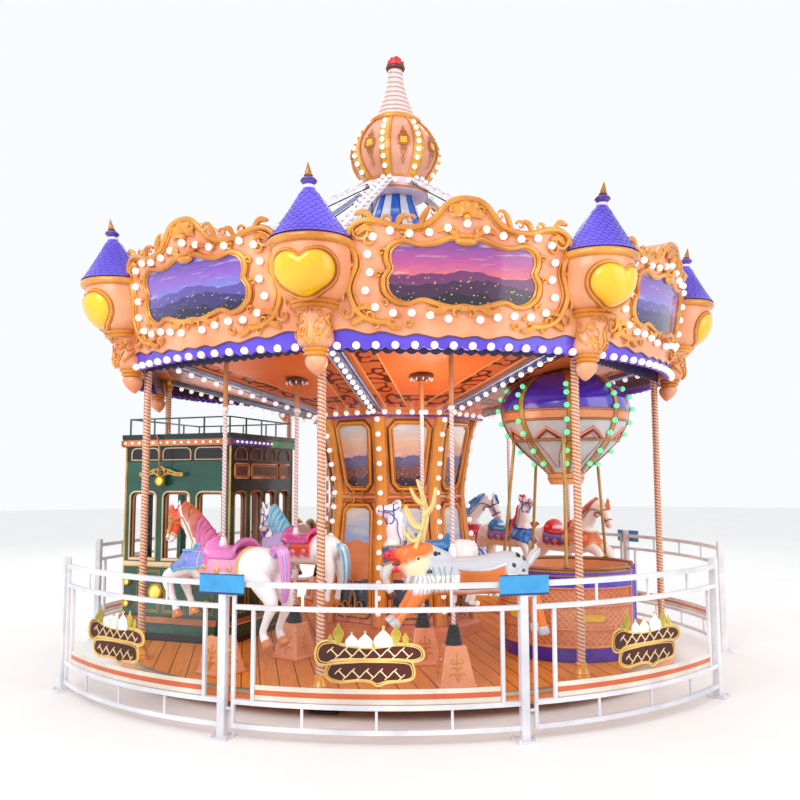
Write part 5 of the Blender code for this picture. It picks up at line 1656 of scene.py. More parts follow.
fender = lofted("fender",
                [[on_face(0, s, z, d)
                  for z, d in ((0.340, 0.0), (0.340, 0.034 + 0.024 * math.cos(math.pi * s / 1.3)),
                               (0.392, 0.034 + 0.024 * math.cos(math.pi * s / 1.3)), (0.392, 0.0))]
                 for s in [-0.60 + k * 0.06 for k in range(21)]])
trim.append(dressed(fender, post_brown))
for first, last in ((-0.54, -0.28), (-0.24, 0.28), (0.32, 0.54)):
    outline = [(first + 0.02, 1.680), (last - 0.02, 1.680), (last, 1.705), (last, 1.79),
               (last - 0.02, 1.815), (first + 0.02, 1.815), (first, 1.79), (first, 1.705)]
    trim.append(face_plate(1, outline, 0.0, 0.012, rose_brown, "blank_box"))
    trim.append(lining(1, outline, 0.012, 0.0075, orange_band))
    inner = [(s + (0.018 if s < (first + last) / 2 else -0.018), z + (0.018 if z < 1.75 else -0.018))
             for s, z in outline]
    trim.append(lining(1, inner, 0.012, 0.004, tram_gold))
fitted(placed(joined("tram_trim", trim), TRAM), "turntable", "tram_green")

lamp_parts = []


def round_lamp(face, s, z, radius, proud):
    """A lamp with a gilt ring and a domed yellow glass, built upright and laid against a face."""
    dome = [(radius * math.cos(a), radius * 0.5 * math.sin(a))
            for a in [math.pi / 2 * k / 6 for k in range(6)]]
    glass_dome = turned("lens", dome + [(0.001, radius * 0.5)], 24, angle=80.0)
    dressed(glass_dome, lamp_yellow.material)
    ring = ((radius * 1.0, -0.02), (radius * 1.35, -0.02), (radius * 1.40, 0.006), (radius * 1.22, 0.018),
            (radius * 1.0, 0.004))
    bezel = dressed(turned("bezel", ring, 24, angle=50.0), tram_gold)
    outward = on_face(face, 0, 0, 1.0) - on_face(face, 0, 0, 0.0)
    return placed(joined("round_lamp", [glass_dome, bezel]), facing(on_face(face, s, z, proud), outward))


lamp_parts += [round_lamp(0, -0.20, 0.62, 0.055, 0.022), round_lamp(0, 0.36, 0.52, 0.032, 0.020),
               round_lamp(0, -0.53, 0.70, 0.026, 0.020), round_lamp(0, -0.53, 0.50, 0.026, 0.020),
               round_lamp(0, -0.14, 1.655, 0.036, 0.075)]
wing = [[on_face(0, -0.14 + m * x, z, 0.055) for x, z in line] for m in (-1, 1)
        for line in (smooth_flat(((0.0, 1.755), (0.07, 1.765), (0.15, 1.735), (0.24, 1.725)), 4),
                     smooth_flat(((0.02, 1.705), (0.08, 1.725), (0.15, 1.712), (0.235, 1.705)), 4),
                     curl((0.085, 1.745), 200, 0.022, 1.1, 10), curl((0.15, 1.722), 150, 0.018, -1.1, 10),
                     curl((0.235, 1.716), 60, 0.016, 1.0, 8),
                     ((0.0, 1.79), (0.03, 1.77), (0.045, 1.71), (0.0, 1.70)))]
wing.append([on_face(0, -0.14, 1.73, 0.0), on_face(0, -0.14, 1.73, 0.06)])
lamp_parts.append(dressed(tubes("bracket", wing, 0.0085, 1), tram_gold))
hook = [on_face(0, s, z, d) for s, z, d in ((-0.14, 1.70, 0.075), (-0.13, 1.80, 0.10),
                                            (-0.12, 1.90, 0.11), (-0.15, 2.02, 0.09), (-0.20, 2.09, 0.05),
                                            (-0.22, 2.05, 0.0), (-0.22, 2.02, -0.02))]
lamp_parts.append(dressed(tubes("hook", [flowing(hook, 4)], 0.009, 1), post_brown))
fitted(placed(joined("tram_lamps", lamp_parts), TRAM), "turntable", "brass_tube")
places = [(TRAM @ on_face(0, -0.56 + k * 0.08, 2.018, 0.038), TRAM.to_3x3() @ Vector((0, -1, 0)))
          for k in range(15)]
places += [(TRAM @ on_face(1, -0.56 + k * 0.08, 2.018, 0.040), TRAM.to_3x3() @ Vector((1, 0, 0)))
           for k in range(9)]
fitted(lamps("tram_lamps_small", places, 0.015, subdivisions=1), "turntable", "tram_green")

inside_parts = [dressed(block("tram_floor", (-0.53, -0.55, 0.251), (0.53, 0.55, 0.262), 0.0), post_brown),
                dressed(block("tram_seat", (0.30, -0.54, 0.262), (0.53, 0.54, 0.66), 0.012), rose_brown),
                dressed(block("tram_seat_back", (0.47, -0.54, 0.66), (0.533, 0.54, 0.90), 0.010),
                        rose_brown)]
for m in (-1, 1):
    for s in (-0.19, 0.19):
        inside_parts.append(dressed(block("inner_post", (s - 0.028, m * 0.54 - 0.012, 0.90),
                                          (s + 0.028, m * 0.54 + 0.012, 1.56), 0.004), post_brown))
fitted(placed(joined("tram_inside", inside_parts), TRAM), "turntable", "tram_green")

# A scroll board hangs outside each front infill sheet: two maroon tiers edged in gold, with small
# domes and leaves on top. Its lettering is left out, and a plain vine takes its place.
board_maroon = painted("board_maroon", "5a180c", "2c0a04", roughness=0.6, coat=0.0)
board_cream = painted("board_cream", "f8e6b8", "d8ac68", roughness=0.35)
board_edge = painted("board_edge", "f6d274", "c08a34", roughness=0.3, coat=0.3)
dome_white = painted("dome_white", "f4f6f0", "c4d0c4", roughness=0.3, coat=0.4)
leaf_olive = painted("leaf_olive", "d0b848", "80741c", roughness=0.35, metallic=0.2)
BOARD_BACK = FENCE_RADIUS + 0.004
UPPER_TIER = ((-0.29, 0.500), (-0.18, 0.512), (0.0, 0.522), (0.18, 0.530), (0.28, 0.522), (0.335, 0.545),
              (0.335, 0.590), (0.29, 0.622), (0.18, 0.632), (0.06, 0.612), (-0.06, 0.610), (-0.17, 0.625),
              (-0.25, 0.650), (-0.32, 0.632), (-0.345, 0.575), (-0.335, 0.520))
LOWER_TIER = ((-0.20, 0.392), (-0.08, 0.402), (0.0, 0.396), (0.05, 0.372), (0.11, 0.392), (0.22, 0.402),
              (0.275, 0.425), (0.275, 0.490), (0.23, 0.530), (0.0, 0.535), (-0.22, 0.530), (-0.27, 0.490),
              (-0.275, 0.425))


def on_board(x, z, proud):
    return Vector((x, -BOARD_BACK - proud, z))


def tier_parts(outline, low, high):
    """One tier: a board, a dark groove and gold edges, and a vine between two ends."""
    line = [(p.x, p.y) for p in flowing([(x, z, 0.0) for x, z in outline], 4, True)]
    parts = [dressed(lofted("tier", [[on_board(x, z, d) for x, z in line] for d in (0.0, 0.012)],
                            angle=50.0), board_maroon)]
    parts.append(dressed(tubes("tier_edge", [[on_board(x, z, 0.010) for x, z in line]], 0.0075, 1, True),
                         board_edge))
    middle = sum(z for _, z in outline) / len(outline)
    inner = [on_board(x * 0.955, middle + (z - middle) * 0.80, 0.012) for x, z in line]
    parts.append(dressed(tubes("tier_line", [inner], 0.004, 1, True), board_edge))
    steps = int((high - low) / 0.085)
    vine = [on_board(low + (high - low) * k / (4 * steps), middle + 0.020 * math.sin(math.pi * k / 2),
                     0.014) for k in range(4 * steps + 1)]
    leaves = []
    for k in range(steps):
        x = low + (high - low) * (k + 0.5) / steps
        for mark in (-1, 1):
            leaves.append([on_board(x + mark * 0.004, middle - mark * 0.004, 0.014),
                           on_board(x + mark * 0.020, middle - mark * 0.020, 0.014),
                           on_board(x + mark * 0.006, middle - mark * 0.034, 0.014)])
    parts.append(dressed(tubes("vine", [flowing(vine, 3)] + [flowing(leaf, 3) for leaf in leaves], 0.0042,
                               1), board_cream))
    return parts


board_parts = tier_parts(UPPER_TIER, -0.27, 0.27) + tier_parts(LOWER_TIER, -0.22, 0.22)
for x, low, size in ((-0.115, 0.615, 0.040), (-0.03, 0.608, 0.046), (0.085, 0.612, 0.058)):
    dome = turned("dome", ((size, 0.0), (size * 1.12, size * 0.5), (size * 0.95, size),
                           (size * 0.5, size * 1.45), (size * 0.14, size * 1.75),
                           (size * 0.05, size * 2.25)), 14, angle=60.0)
    board_parts.append(placed(dressed(dome, dome_white), Matrix.Translation(on_board(x, low, 0.010))
                              @ Matrix.Diagonal((1.0, 0.30, 1.0, 1.0))))
    tip = [on_board(x, low + size * s, 0.010) for s in (1.95, 2.15)]
    board_parts.append(dressed(tubes("tip", [tip], size * 0.2, 2), board_edge))
for x, low, tall in ((-0.20, 0.625, 0.135), (0.165, 0.625, 0.125), (0.225, 0.625, 0.075),
                     (-0.25, 0.640, 0.05), (0.03, 0.605, 0.060)):
    tuft = [flowing([on_board(x, low, 0.008), on_board(x + lean * tall * 0.22, low + tall * 0.5, 0.010),
                     on_board(x + lean * tall * 0.06, low + tall * rise, 0.008)], 4)
            for lean, rise in ((-1.0, 0.78), (-0.45, 0.95), (0.0, 1.0), (0.45, 0.95), (1.0, 0.78))]
    board_parts.append(dressed(tubes("tuft", tuft, 0.0095, 1, swell=lambda s: 1.15 - 0.85 * s),
                               leaf_olive))
scroll_board = joined("scroll_board", board_parts)
for number in range(3):
    made = copied(scroll_board, f"scroll_board_{number + 1}",
                  turn(RUNS[0][1] + (number + 0.5) * BAY_ANGLE))
    fitted(made, "ground", "plaque_board", f"plaque_{number + 1}")
bpy.data.objects.remove(scroll_board)


# The animals: moulded fibreglass horses and a reindeer, painted, with carved manes, tails and
# harness. Each is fixed on a twisted rod that slides through the ceiling and its bellows.
TORSO = ((-0.578, 0.825, 0.030, 0.030), (-0.555, 0.825, 0.085, 0.075), (-0.49, 0.815, 0.135, 0.118),
         (-0.38, 0.80, 0.158, 0.138), (-0.22, 0.785, 0.142, 0.134), (0.0, 0.78, 0.140, 0.134),
         (0.15, 0.79, 0.150, 0.134), (0.27, 0.82, 0.162, 0.124), (0.355, 0.845, 0.130, 0.098),
         (0.395, 0.855, 0.060, 0.050))
FORELEG_SIZES = ((0.0, 0.085), (0.3, 0.056), (0.5, 0.044), (0.64, 0.030), (0.84, 0.029), (0.93, 0.037),
                 (1.0, 0.033))
HIND_LEG_SIZES = ((0.0, 0.108), (0.28, 0.074), (0.48, 0.044), (0.64, 0.032), (0.84, 0.030), (0.93, 0.038),
                  (1.0, 0.034))
HEAD_SIZES = ((0.0, 0.056), (0.18, 0.079), (0.40, 0.068), (0.62, 0.050), (0.80, 0.044), (0.92, 0.046),
              (1.0, 0.028))
TUCKED = {"neck": ((0.12, 0.80), (0.21, 0.95), (0.28, 1.07), (0.335, 1.16), (0.375, 1.20)),
          "poll": (0.375, 1.195), "muzzle": (0.475, 0.965),
          "foreleg": ((0.25, 0.80), (0.34, 0.70), (0.385, 0.61), (0.36, 0.52), (0.33, 0.44)),
          "hind_leg": ((-0.42, 0.80), (-0.49, 0.66), (-0.525, 0.53), (-0.50, 0.40), (-0.48, 0.30)),
          "tail": ((-0.54, 0.86), (-0.61, 0.84), (-0.65, 0.72), (-0.66, 0.60), (-0.655, 0.49))}
LEVEL = {**TUCKED, "neck": ((0.12, 0.80), (0.22, 0.94), (0.265, 1.06), (0.265, 1.17), (0.27, 1.23)),
         "poll": (0.235, 1.245), "muzzle": (0.475, 1.255)}
JUMPING = {"neck": ((0.12, 0.80), (0.24, 0.96), (0.34, 1.08), (0.44, 1.17), (0.525, 1.205)),
           "poll": (0.54, 1.20), "muzzle": (0.655, 0.955),
           "foreleg": ((0.25, 0.80), (0.40, 0.745), (0.555, 0.675), (0.505, 0.55), (0.455, 0.46),
                       (0.435, 0.415)),
           "hind_leg": ((-0.42, 0.80), (-0.51, 0.69), (-0.615, 0.56), (-0.57, 0.44), (-0.53, 0.34),
                        (-0.565, 0.275)),
           "tail": ((-0.53, 0.87), (-0.59, 0.955), (-0.655, 0.90), (-0.675, 0.74), (-0.665, 0.56))}
REINDEER = {"neck": ((0.06, 0.80), (0.14, 0.88), (0.20, 0.935), (0.25, 0.955)),
            "poll": (0.20, 0.965), "muzzle": (0.515, 0.935),
            "foreleg": ((0.20, 0.78), (0.27, 0.66), (0.33, 0.585), (0.40, 0.51), (0.435, 0.475)),
            "hind_leg": ((-0.42, 0.80), (-0.52, 0.70), (-0.605, 0.60), (-0.64, 0.50), (-0.66, 0.40)),
            "tail": ((-0.53, 0.83), (-0.58, 0.87), (-0.625, 0.92), (-0.66, 0.965))}
LEG_OFFSET = 0.085
SADDLE_HEIGHT = 1.0
INNER_SIZE = 0.82
SIDEWAYS = Vector((0.0, 1.0, 0.0))


def limb(points, sizes, y=0.0, flat=1.0, steps=5):
    """A tapering limb through (forward, up) points in the plane at y; sizes pairs share and radius."""
    path = flowing([(x, y, z) for x, z in points], steps)
    rings = []
    for number, point in enumerate(path):
        along = (path[min(number + 1, len(path) - 1)] - path[max(number - 1, 0)]).normalized()
        across = along.cross(SIDEWAYS)
        radius = along_profile(sizes, number / (len(path) - 1))
        rings.append([point + across * (radius * math.cos(a)) + SIDEWAYS * (radius * flat * math.sin(a))
                      for a in steps_round(16)])
    return lofted("limb", rings)


def in_plane(point, y=0.0):
    return Vector((point[0], y, point[1]))


def head_frame(view):
    """Where the head starts, its axis to the muzzle, and the direction of its throat side."""
    poll, muzzle = in_plane(view["poll"]), in_plane(view["muzzle"])
    axis = muzzle - poll
    return poll, axis, Vector((axis.z, 0.0, -axis.x)).normalized()


def figure_body(view, deer):
    """Torso, neck, head and legs melted into one skin."""
    poll, axis, throat = head_frame(view)
    masses = [lofted("torso", [[Vector((x, wide * math.cos(a), z + tall * math.sin(a)))
                                for a in steps_round(24)] for x, z, tall, wide in TORSO])]
    masses.append(limb(view["neck"],
                       ((0.0, 0.15), (0.3, 0.125), (0.6, 0.095), (0.85, 0.078), (1.0, 0.060)), 0.0, 0.66))
    head_line = [(p.x, p.z) for p in (poll, poll + axis * 0.5, poll + axis)]
    masses.append(limb(head_line, HEAD_SIZES, 0.0, 0.64))
    drop = 0.30 if deer else 0.0
    jaw = [poll + axis * s + throat * (0.030 + d + drop * max(s - 0.25, 0) * 0.42)
           for s, d in ((0.20, 0.0), (0.5, 0.012), (0.88, 0.012))]
    masses.append(limb([(p.x, p.z) for p in jaw], ((0.0, 0.048), (0.5, 0.032), (1.0, 0.019)), 0.0, 0.66))
    for side in (-1, 1):
        y = side * LEG_OFFSET
        masses.append(limb(view["foreleg"], FORELEG_SIZES, y, 0.92))
        masses.append(limb(view["hind_leg"], HIND_LEG_SIZES, y, 0.86))
        ear_root = poll - throat * 0.042 + SIDEWAYS * side * 0.034
        ear_tip = ear_root + Vector((0.012 if not deer else -0.02, side * 0.016,
                                     0.088 if not deer else 0.03))
        ear_rings = [[ear_root.lerp(ear_tip, s) + Vector((r * math.cos(a), r * 0.6 * math.sin(a), 0))
                      for a in steps_round(10)]
                     for s, r in ((-0.2, 0.020), (0.3, 0.024), (0.65, 0.018), (1.0, 0.004))]
        masses.append(lofted("ear", ear_rings))
    body = joined("figure_body", masses)
    select_only(body)
    melt = body.modifiers.new("Melt", 'REMESH')
    melt.mode, melt.voxel_size = 'VOXEL', 0.0105
    bpy.ops.object.modifier_apply(modifier="Melt")
    ease = body.modifiers.new("Ease", 'SMOOTH')
    ease.factor, ease.iterations = 0.6, 7
    bpy.ops.object.modifier_apply(modifier="Ease")
    return sharpened(body, 80.0)


skin_trees = {}


def snug(body, point, proud=0.004):
    """The point on the figure's skin nearest to a given one, raised by proud."""
    near, normal, _, _ = skin_trees[body.name].find_nearest(Vector(point))
    return near + normal * proud


def patch(body, shape, proud, look, columns=14, rows=24, thickness=0.012):
    """A moulded sheet of harness that follows the skin; proud is a height or a function."""
    rise = proud if callable(proud) else lambda u, v: proud
    piece = formed("patch", columns, rows, lambda u, v: snug(body, shape(u, v), rise(u, v)), 60.0)
    select_only(piece)
    thick = piece.modifiers.new("Thick", 'SOLIDIFY')
    thick.thickness, thick.offset = thickness, -1.0
    bpy.ops.object.modifier_apply(modifier="Thick")
    return dressed(piece, look)


def strap(body, points, radius, look, proud=0.002, closed=False):
    return dressed(tubes("strap", [[snug(body, p, proud) for p in flowing(points, 5, closed)]], radius, 1,
                         closed), look)


def on_torso(x, angle, beyond=0.05):
    """A point outside the torso at a forward place and an angle down from its ridge."""
    z = along_profile([(s[0], s[1]) for s in TORSO], x)
    tall = along_profile([(s[0], s[2]) for s in TORSO], x)
    wide = along_profile([(s[0], s[3]) for s in TORSO], x)
    a = math.radians(angle)
    return Vector((x, (wide + beyond) * math.sin(a), z + (tall + beyond) * math.cos(a)))


coat_paints = {}


def coat(code):
    """Gloss paint of one colour, shared by all the figures that use it."""
    if code not in coat_paints:
        red, green, blue = (int(code[k:k + 2], 16) for k in (0, 2, 4))
        shade = f"{int(red * 0.78):02x}{int(green * 0.72):02x}{int(blue * 0.76):02x}"
        coat_paints[code] = painted(f"coat_{code}", code, shade, roughness=0.26, coat=0.5, peel=0.05)
    return coat_paints[code]


def figure_paint(name, base, patches):
    """Body paint with areas of other colours; each patch is (forward, up, radius, colour)."""
    made = Finish(name, Coat_Weight=0.45)
    x, z, _ = made.axes(made.place("UV"))
    soft = made.noise(6.0, 2.0)
    colour = made.mix(soft * 0.5, tint(base), scaled(tint(base), 0.80))
    for at_x, at_z, radius, code in patches:
        away = (x - at_x) * (x - at_x) + (z - at_z) * (z - at_z)
        inside = (away * (-1.0 / radius ** 2) + 1.0).math('MULTIPLY', 3.5, clamp=True)
        colour = made.mix(inside, colour, tint(code))
    made.set(Base_Color=colour, Roughness=soft * 0.15 + 0.22)
    return made


def side_mapped(piece):
    """UVs hold the forward and up place on the figure, so paint stays with it."""
    layer = piece.data.uv_layers.new(name="UVMap")
    for loop in piece.data.loops:
        corner = piece.data.vertices[loop.vertex_index].co
        layer.data[loop.index].uv = (corner.x, corner.z)
    return piece


def neck_line(view, share):
    """Point, direction and crest direction on the neck at a share of its length."""
    path = flowing([(x, 0.0, z) for x, z in view["neck"]], 6)
    number = min(int(share * (len(path) - 1)), len(path) - 2)
    along = (path[number + 1] - path[number]).normalized()
    return path[number], along, Vector((-along.z, 0.0, along.x))


def mane_parts(body, view, colours, hanging):
    """Fine locks on both sides of the neck; hanging ones fall straight, others sweep back."""
    parts = [[], []]
    for k in range(26):
        point, along, crest = neck_line(view, 0.16 + 0.84 * k / 25)
        top = snug(body, point + crest * 0.2, 0.008)
        length = (0.19 if hanging else 0.15) + 0.012 * (k % 3)
        fall = Vector((0.0, 0.0, -1.0)) if hanging else (-crest * 0.45 - along)
        for side in (-1, 1):
            lock = [top + crest * 0.008]
            for drop, out in ((0.22, 0.04), (0.55, 0.07), (0.8, 0.08), (1.0, 0.08)):
                wave = along * (0.008 * math.sin(7 * drop + 2 * k))
                lock.append(snug(body, top + fall * (drop * length) - crest * 0.02 * drop + wave
                                 + SIDEWAYS * side * out, 0.009))
            share = k / 25 if not hanging else (0.35 if (k + side) // 2 % 2 else 0.65)
            parts[0 if share > 0.45 + 0.1 * (k % 2) else 1].append(flowing(lock, 3))
    poll, axis, throat = head_frame(view)
    for number, side in enumerate((-0.6, -0.2, 0.2, 0.6)):
        lock = [snug(body, poll - throat * 0.10 - axis * 0.10, 0.010)]
        lock += [snug(body, poll + axis * s - throat * 0.10 + SIDEWAYS * side * 0.05, 0.008)
                 for s in (0.10, 0.22, 0.30 + 0.04 * (number % 2))]
        parts[0 if not hanging else number % 2].append(flowing(lock, 3))
    return [dressed(tubes("mane", lines, 0.0145, 1, swell=lambda s: 1.1 - 0.75 * s * s), coat(code))
            for lines, code in zip(parts, colours)]


def tail_parts(view, colours):
    path = flowing([(x, 0.0, z) for x, z in view["tail"]], 4)
    parts = [[], []]
    for k in range(9):
        a = math.tau * k / 8
        size = 0.0 if k == 8 else 0.026
        line = []
        for number, point in enumerate(path):
            share = number / (len(path) - 1)
            fan_out = size * (0.35 + 0.9 * math.sin(math.pi * min(share * 0.8 + 0.1, 1.0)))
            line.append(point + Vector((math.cos(a) * fan_out * 0.9, math.sin(a) * fan_out,
                                        0.008 * math.sin(9 * share + k))))
        parts[k % 2].append(line)
    return [dressed(tubes("tail", lines, 0.0175, 1, swell=lambda s: 1.0 - 0.7 * s ** 3), coat(code))
            for lines, code in zip(parts, colours)]


def hoof_parts(view, look):
    parts = []
    for leg in ("foreleg", "hind_leg"):
        path = flowing([(x, 0.0, z) for x, z in view[leg]], 5)
        along = (path[-1] - path[-3]).normalized()
        across = along.cross(SIDEWAYS)
        for side in (-1, 1):
            root = path[-1] + SIDEWAYS * side * LEG_OFFSET
            rings = [[root + along * d + across * (r * math.cos(a)) + SIDEWAYS * (r * 0.9 * math.sin(a))
                      for a in steps_round(14)]
                     for d, r in ((-0.012, 0.030), (-0.004, 0.037), (0.040, 0.047), (0.048, 0.043))]
            parts.append(dressed(lofted("hoof", rings, angle=50.0), look))
    return parts


def ball_at(point, radius, look, squash=(1.0, 1.0, 1.0)):
    bpy.ops.mesh.primitive_uv_sphere_add(segments=12, ring_count=8, radius=radius, location=point)
    ball = bpy.context.object
    ball.scale = squash
    bpy.ops.object.transform_apply(location=True, rotation=True, scale=True)
    return dressed(sharpened(ball, 80.0), look)


def face_parts(body, view, deer):
    poll, axis, throat = head_frame(view)
    parts = []
    for side in (-1, 1):
        eye = snug(body, poll + axis * 0.30 - throat * 0.030 + SIDEWAYS * side * 0.2, -0.002)
        parts.append(ball_at(eye, 0.0155, coat("fbf8f2"), (1.0, 0.6, 1.0)))
        parts.append(ball_at(eye + SIDEWAYS * side * 0.005, 0.0105, coat("181410"), (1.0, 0.6, 1.1)))
        nostril = snug(body, poll + axis * 0.93 - throat * 0.012 + SIDEWAYS * side * 0.2, 0.0)
        parts.append(ball_at(nostril, 0.0075, coat("5a2420"), (1.0, 0.5, 1.0)))
    mouth_axis = [poll + axis * s + throat * 0.026 for s in (0.66, 0.8, 0.95)]
    if not deer:
        for side in (-1, 1):
            parts.append(strap(body, [p + SIDEWAYS * side * 0.1 for p in mouth_axis], 0.004,
                               coat("b8404c"), 0.0))
    return parts


def saddle_parts(body, colours):
    """Blanket with a scalloped trim, then a seat with a raised pommel and cantle."""
    seat, cloth, trim = colours

    def cloth_shape(u, v):
        reach = 104 + 9 * abs(math.sin(4 * math.pi * u))
        return on_torso(-0.30 + 0.44 * u, (2 * v - 1) * reach)
    parts = [patch(body, cloth_shape, 0.009, coat(cloth), 24, 28)]
    for side in (-1, 1):
        edge_points = [on_torso(-0.30 + 0.44 * k / 24, side * (104 + 9 * abs(math.sin(math.pi * k / 6))))
                       for k in range(25)]
        parts.append(strap(body, edge_points, 0.009, coat(trim), 0.006))
        for x, z_angle, size in ((-0.22, 88, 0.030), (-0.08, 92, 0.036), (0.06, 88, 0.030)):
            parts.append(ball_at(snug(body, on_torso(x, side * z_angle), 0.012), size, coat(trim),
                                 (1.0, 0.35, 0.8)))
            parts.append(ball_at(snug(body, on_torso(x, side * z_angle), 0.020), size * 0.55, coat(seat),
                                 (1.0, 0.45, 0.8)))
    for x in (-0.30, 0.14):
        girth = [on_torso(x, a) for a in range(-104, 105, 16)]
        parts.append(strap(body, girth, 0.008, coat(trim), 0.006))

    def seat_rise(u, v):
        across = 2 * v - 1
        swell = 0.022 + 0.055 * max(0.0, 1 - u / 0.22) ** 1.5 + 0.040 * max(0.0, (u - 0.80) / 0.20) ** 1.5
        return 0.010 + swell * math.sqrt(max(1 - across ** 4, 0.0))
    parts.append(patch(body, lambda u, v: on_torso(-0.265 + 0.34 * u, (2 * v - 1) * 62), seat_rise,
                       coat(seat), 20, 20, 0.03))
    return parts


def bridle_parts(body, view, code):
    poll, axis, throat = head_frame(view)
    look = coat(code)
    parts = []
    for share, size in ((0.72, 0.007), (0.30, 0.007)):
        centre = poll + axis * share + throat * 0.010
        ring = [centre + throat * (0.12 * math.cos(a)) + SIDEWAYS * (0.12 * math.sin(a))
                for a in steps_round(14)]
        parts.append(strap(body, ring, size, look, 0.002, True))
    for side in (-1, 1):
        cheek = [poll + axis * s + throat * d + SIDEWAYS * side * 0.1
                 for s, d in ((0.05, -0.03), (0.30, 0.0), (0.72, 0.0))]
        parts.append(strap(body, cheek, 0.006, look))
        rein = [poll + axis * 0.72 + throat * 0.02 + SIDEWAYS * side * 0.1]
        rein += [neck_line(view, s)[0] + SIDEWAYS * side * 0.2 for s in (0.75, 0.5, 0.25)]
        rein.append(on_torso(0.10, side * 45))
        parts.append(strap(body, rein, 0.0055, look, 0.012))
    return parts


def drape_parts(body, view, colours):
    """A pleated bib over the chest and shoulders, with a trim along its edge."""
    cloth, trim = colours

    def bib(u, v):
        a = math.radians((2 * u - 1) * 128)
        low = 0.735 + 0.05 * abs(2 * u - 1) ** 2 + 0.014 * abs(math.sin(9 * math.pi * u))
        top = 0.90 + 0.115 * abs(2 * u - 1) ** 1.5
        return Vector((0.215 + 0.26 * math.cos(a), 0.22 * math.sin(a), low + (top - low) * v))

    def pleats(u, v):
        return 0.008 + 0.006 * abs(math.sin(12 * math.pi * u))
    parts = [patch(body, bib, pleats, coat(cloth), 36, 8)]
    for v, size in ((0.0, 0.010), (1.0, 0.011), (0.5, 0.005)):
        parts.append(strap(body, [bib(k / 30, v) for k in range(31)], size, coat(trim), 0.010))
    return parts


# The rod's darker rose grooves are painted shade; white and pale pink are its own colours.
rod_paint = twisted_finish("rod_twist", "fbf2f2", "c08488", "ecc8c0", ROD_TURNS, 2)
sleeve_paint = painted("rod_sleeve", "d88c50", "b06830", roughness=0.35, coat=0.3)
rod_boss = painted("rod_boss", "f6eef0", "d8ccd4", roughness=0.25, coat=0.5)


def rod_parts():
    """The rod from its bellows to the ceiling, with a plain sleeve at the top and a boss."""
    return [dressed(twisted_rod("rod", 0.0185, 0.13, 2.10, ROD_TURNS, 2, 8), rod_paint),
            dressed(turned("sleeve", ((0.012, 2.02), (0.0195, 2.022), (0.0195, 2.725), (0.012, 2.727)),
                           12, angle=50.0), sleeve_paint),
            dressed(turned("bead", ((0.018, 2.005), (0.027, 2.015), (0.027, 2.035), (0.018, 2.045)), 14,
                           angle=80.0), rod_boss),
            dressed(turned("boss", ((0.030, 0.90), (0.034, 0.955), (0.030, 0.985), (0.022, 0.995),
                                    (0.022, 1.01), (0.018, 1.015)), 16, angle=50.0), rod_boss),
            dressed(turned("under", ((0.018, 0.585), (0.028, 0.60), (0.030, 0.66)), 16), rod_boss)]


# Colours of each figure: body, face, mane, tail, saddle set, bridle, chest cloth, hooves.
COATS = {
    "outer_2": ("faf2f2", "f0502c", ("f4864c", "f27cb4"), ("f48cc8", "c4a4e8"),
                ("f084cc", "f4a8c8", "f6c83c"), "f4b83c", ("8890ee", "5ccfe8"), "f29444"),
    "inner_2": ("fbf8f8", "fbf8f8", ("58c8ee", "b8e8f8"), ("58c8ee", "f4f6fa"),
                ("f060ac", "f4521c", "f8a8cc"), "8c7ad0", ("d8c0f4", "b292e6"), "f29444"),
    "inner_1": ("fbf8f8", "fbf8f8", ("f6f2ee", "c8d4ec"), ("2c6cd8", "f4f6fa"),
                ("1c9ce4", "3c6ee0", "f2c040"), "5c48c4", ("2a6cd8", "eec04c"), "7c3c24"),
    "outer_3": ("fbf6f0", "fbf6f0", ("f07a3c", "f6a868"), ("e85c30", "f6a868"),
                ("e8202c", "6a34c4", "f08438"), "a4304c", ("f4763c", "f8c468"), "c86c34"),
    "inner_3": ("fbf6f4", "fbf6f4", ("ea1e20", "f2482c"), ("ea1e20", "f2905c"),
                ("2c94e8", "8c50d0", "f6c83c"), "2c50cc", ("1e84e6", "1c44bc"), "3c60c8"),
    "outer_4": ("f6f8fc", "f6f8fc", ("2c8ae6", "6cc2f2"), ("2c8ae6", "f4f6fa"),
                ("f474b8", "ea3456", "8cd048"), "283ca0", ("e83450", "fbf4f4"), "e88c3c"),
    "inner_4": ("fbf6f0", "fbf6f0", ("f4a83c", "f8d078"), ("f4a83c", "fbf6f0"),
                ("34b48c", "f06048", "f6d050"), "c8402c", ("34b48c", "f6d050"), "9c5c34"),
    "outer_5": ("fbf4f6", "fbf4f6", ("b070e4", "f08cc8"), ("b070e4", "f4d0ec"),
                ("f6a040", "5c84e8", "f6d050"), "8c3cb4", ("f6a040", "b070e4"), "d88c4c"),
    "inner_5": ("faf8f2", "faf8f2", ("e84c3c", "f69c50"), ("e84c3c", "f8e0b0"),
                ("f0c030", "2c9cc8", "f070a0"), "2c78b8", ("f070a0", "f8e070"), "8c4c2c")}
VIEWS = {"inner_1": LEVEL, "inner_3": LEVEL}
skins = {}


def skin_of(view, deer=False):
    """A copy of the melted body of one pose, which is built once, and its search tree."""
    if id(view) not in skins:
        body = figure_body(view, deer)
        corners = [corner.co.copy() for corner in body.data.vertices]
        sides = [list(face.vertices) for face in body.data.polygons]
        skins[id(view)] = (body, BVHTree.FromPolygons(corners, sides))
    pattern, tree = skins[id(view)]
    made = copied(pattern, "skin", Matrix())
    skin_trees[made.name] = tree
    return made


def sized(parts, size):
    """The figure's parts as one piece, scaled about the saddle, with the unscaled rod added."""
    figure = joined("figure", parts)
    for corner in figure.data.vertices:
        x, y, z = corner.co
        corner.co = (x * size, y * size, SADDLE_HEIGHT + (z - SADDLE_HEIGHT) * size)
    return joined("figure", [figure] + rod_parts())


def seat_matrix(radius, angle, lift):
    stand = Matrix.Translation((0.0, -radius, DECK_TOP + lift))
    return turn(angle) @ stand @ turn(180.0)


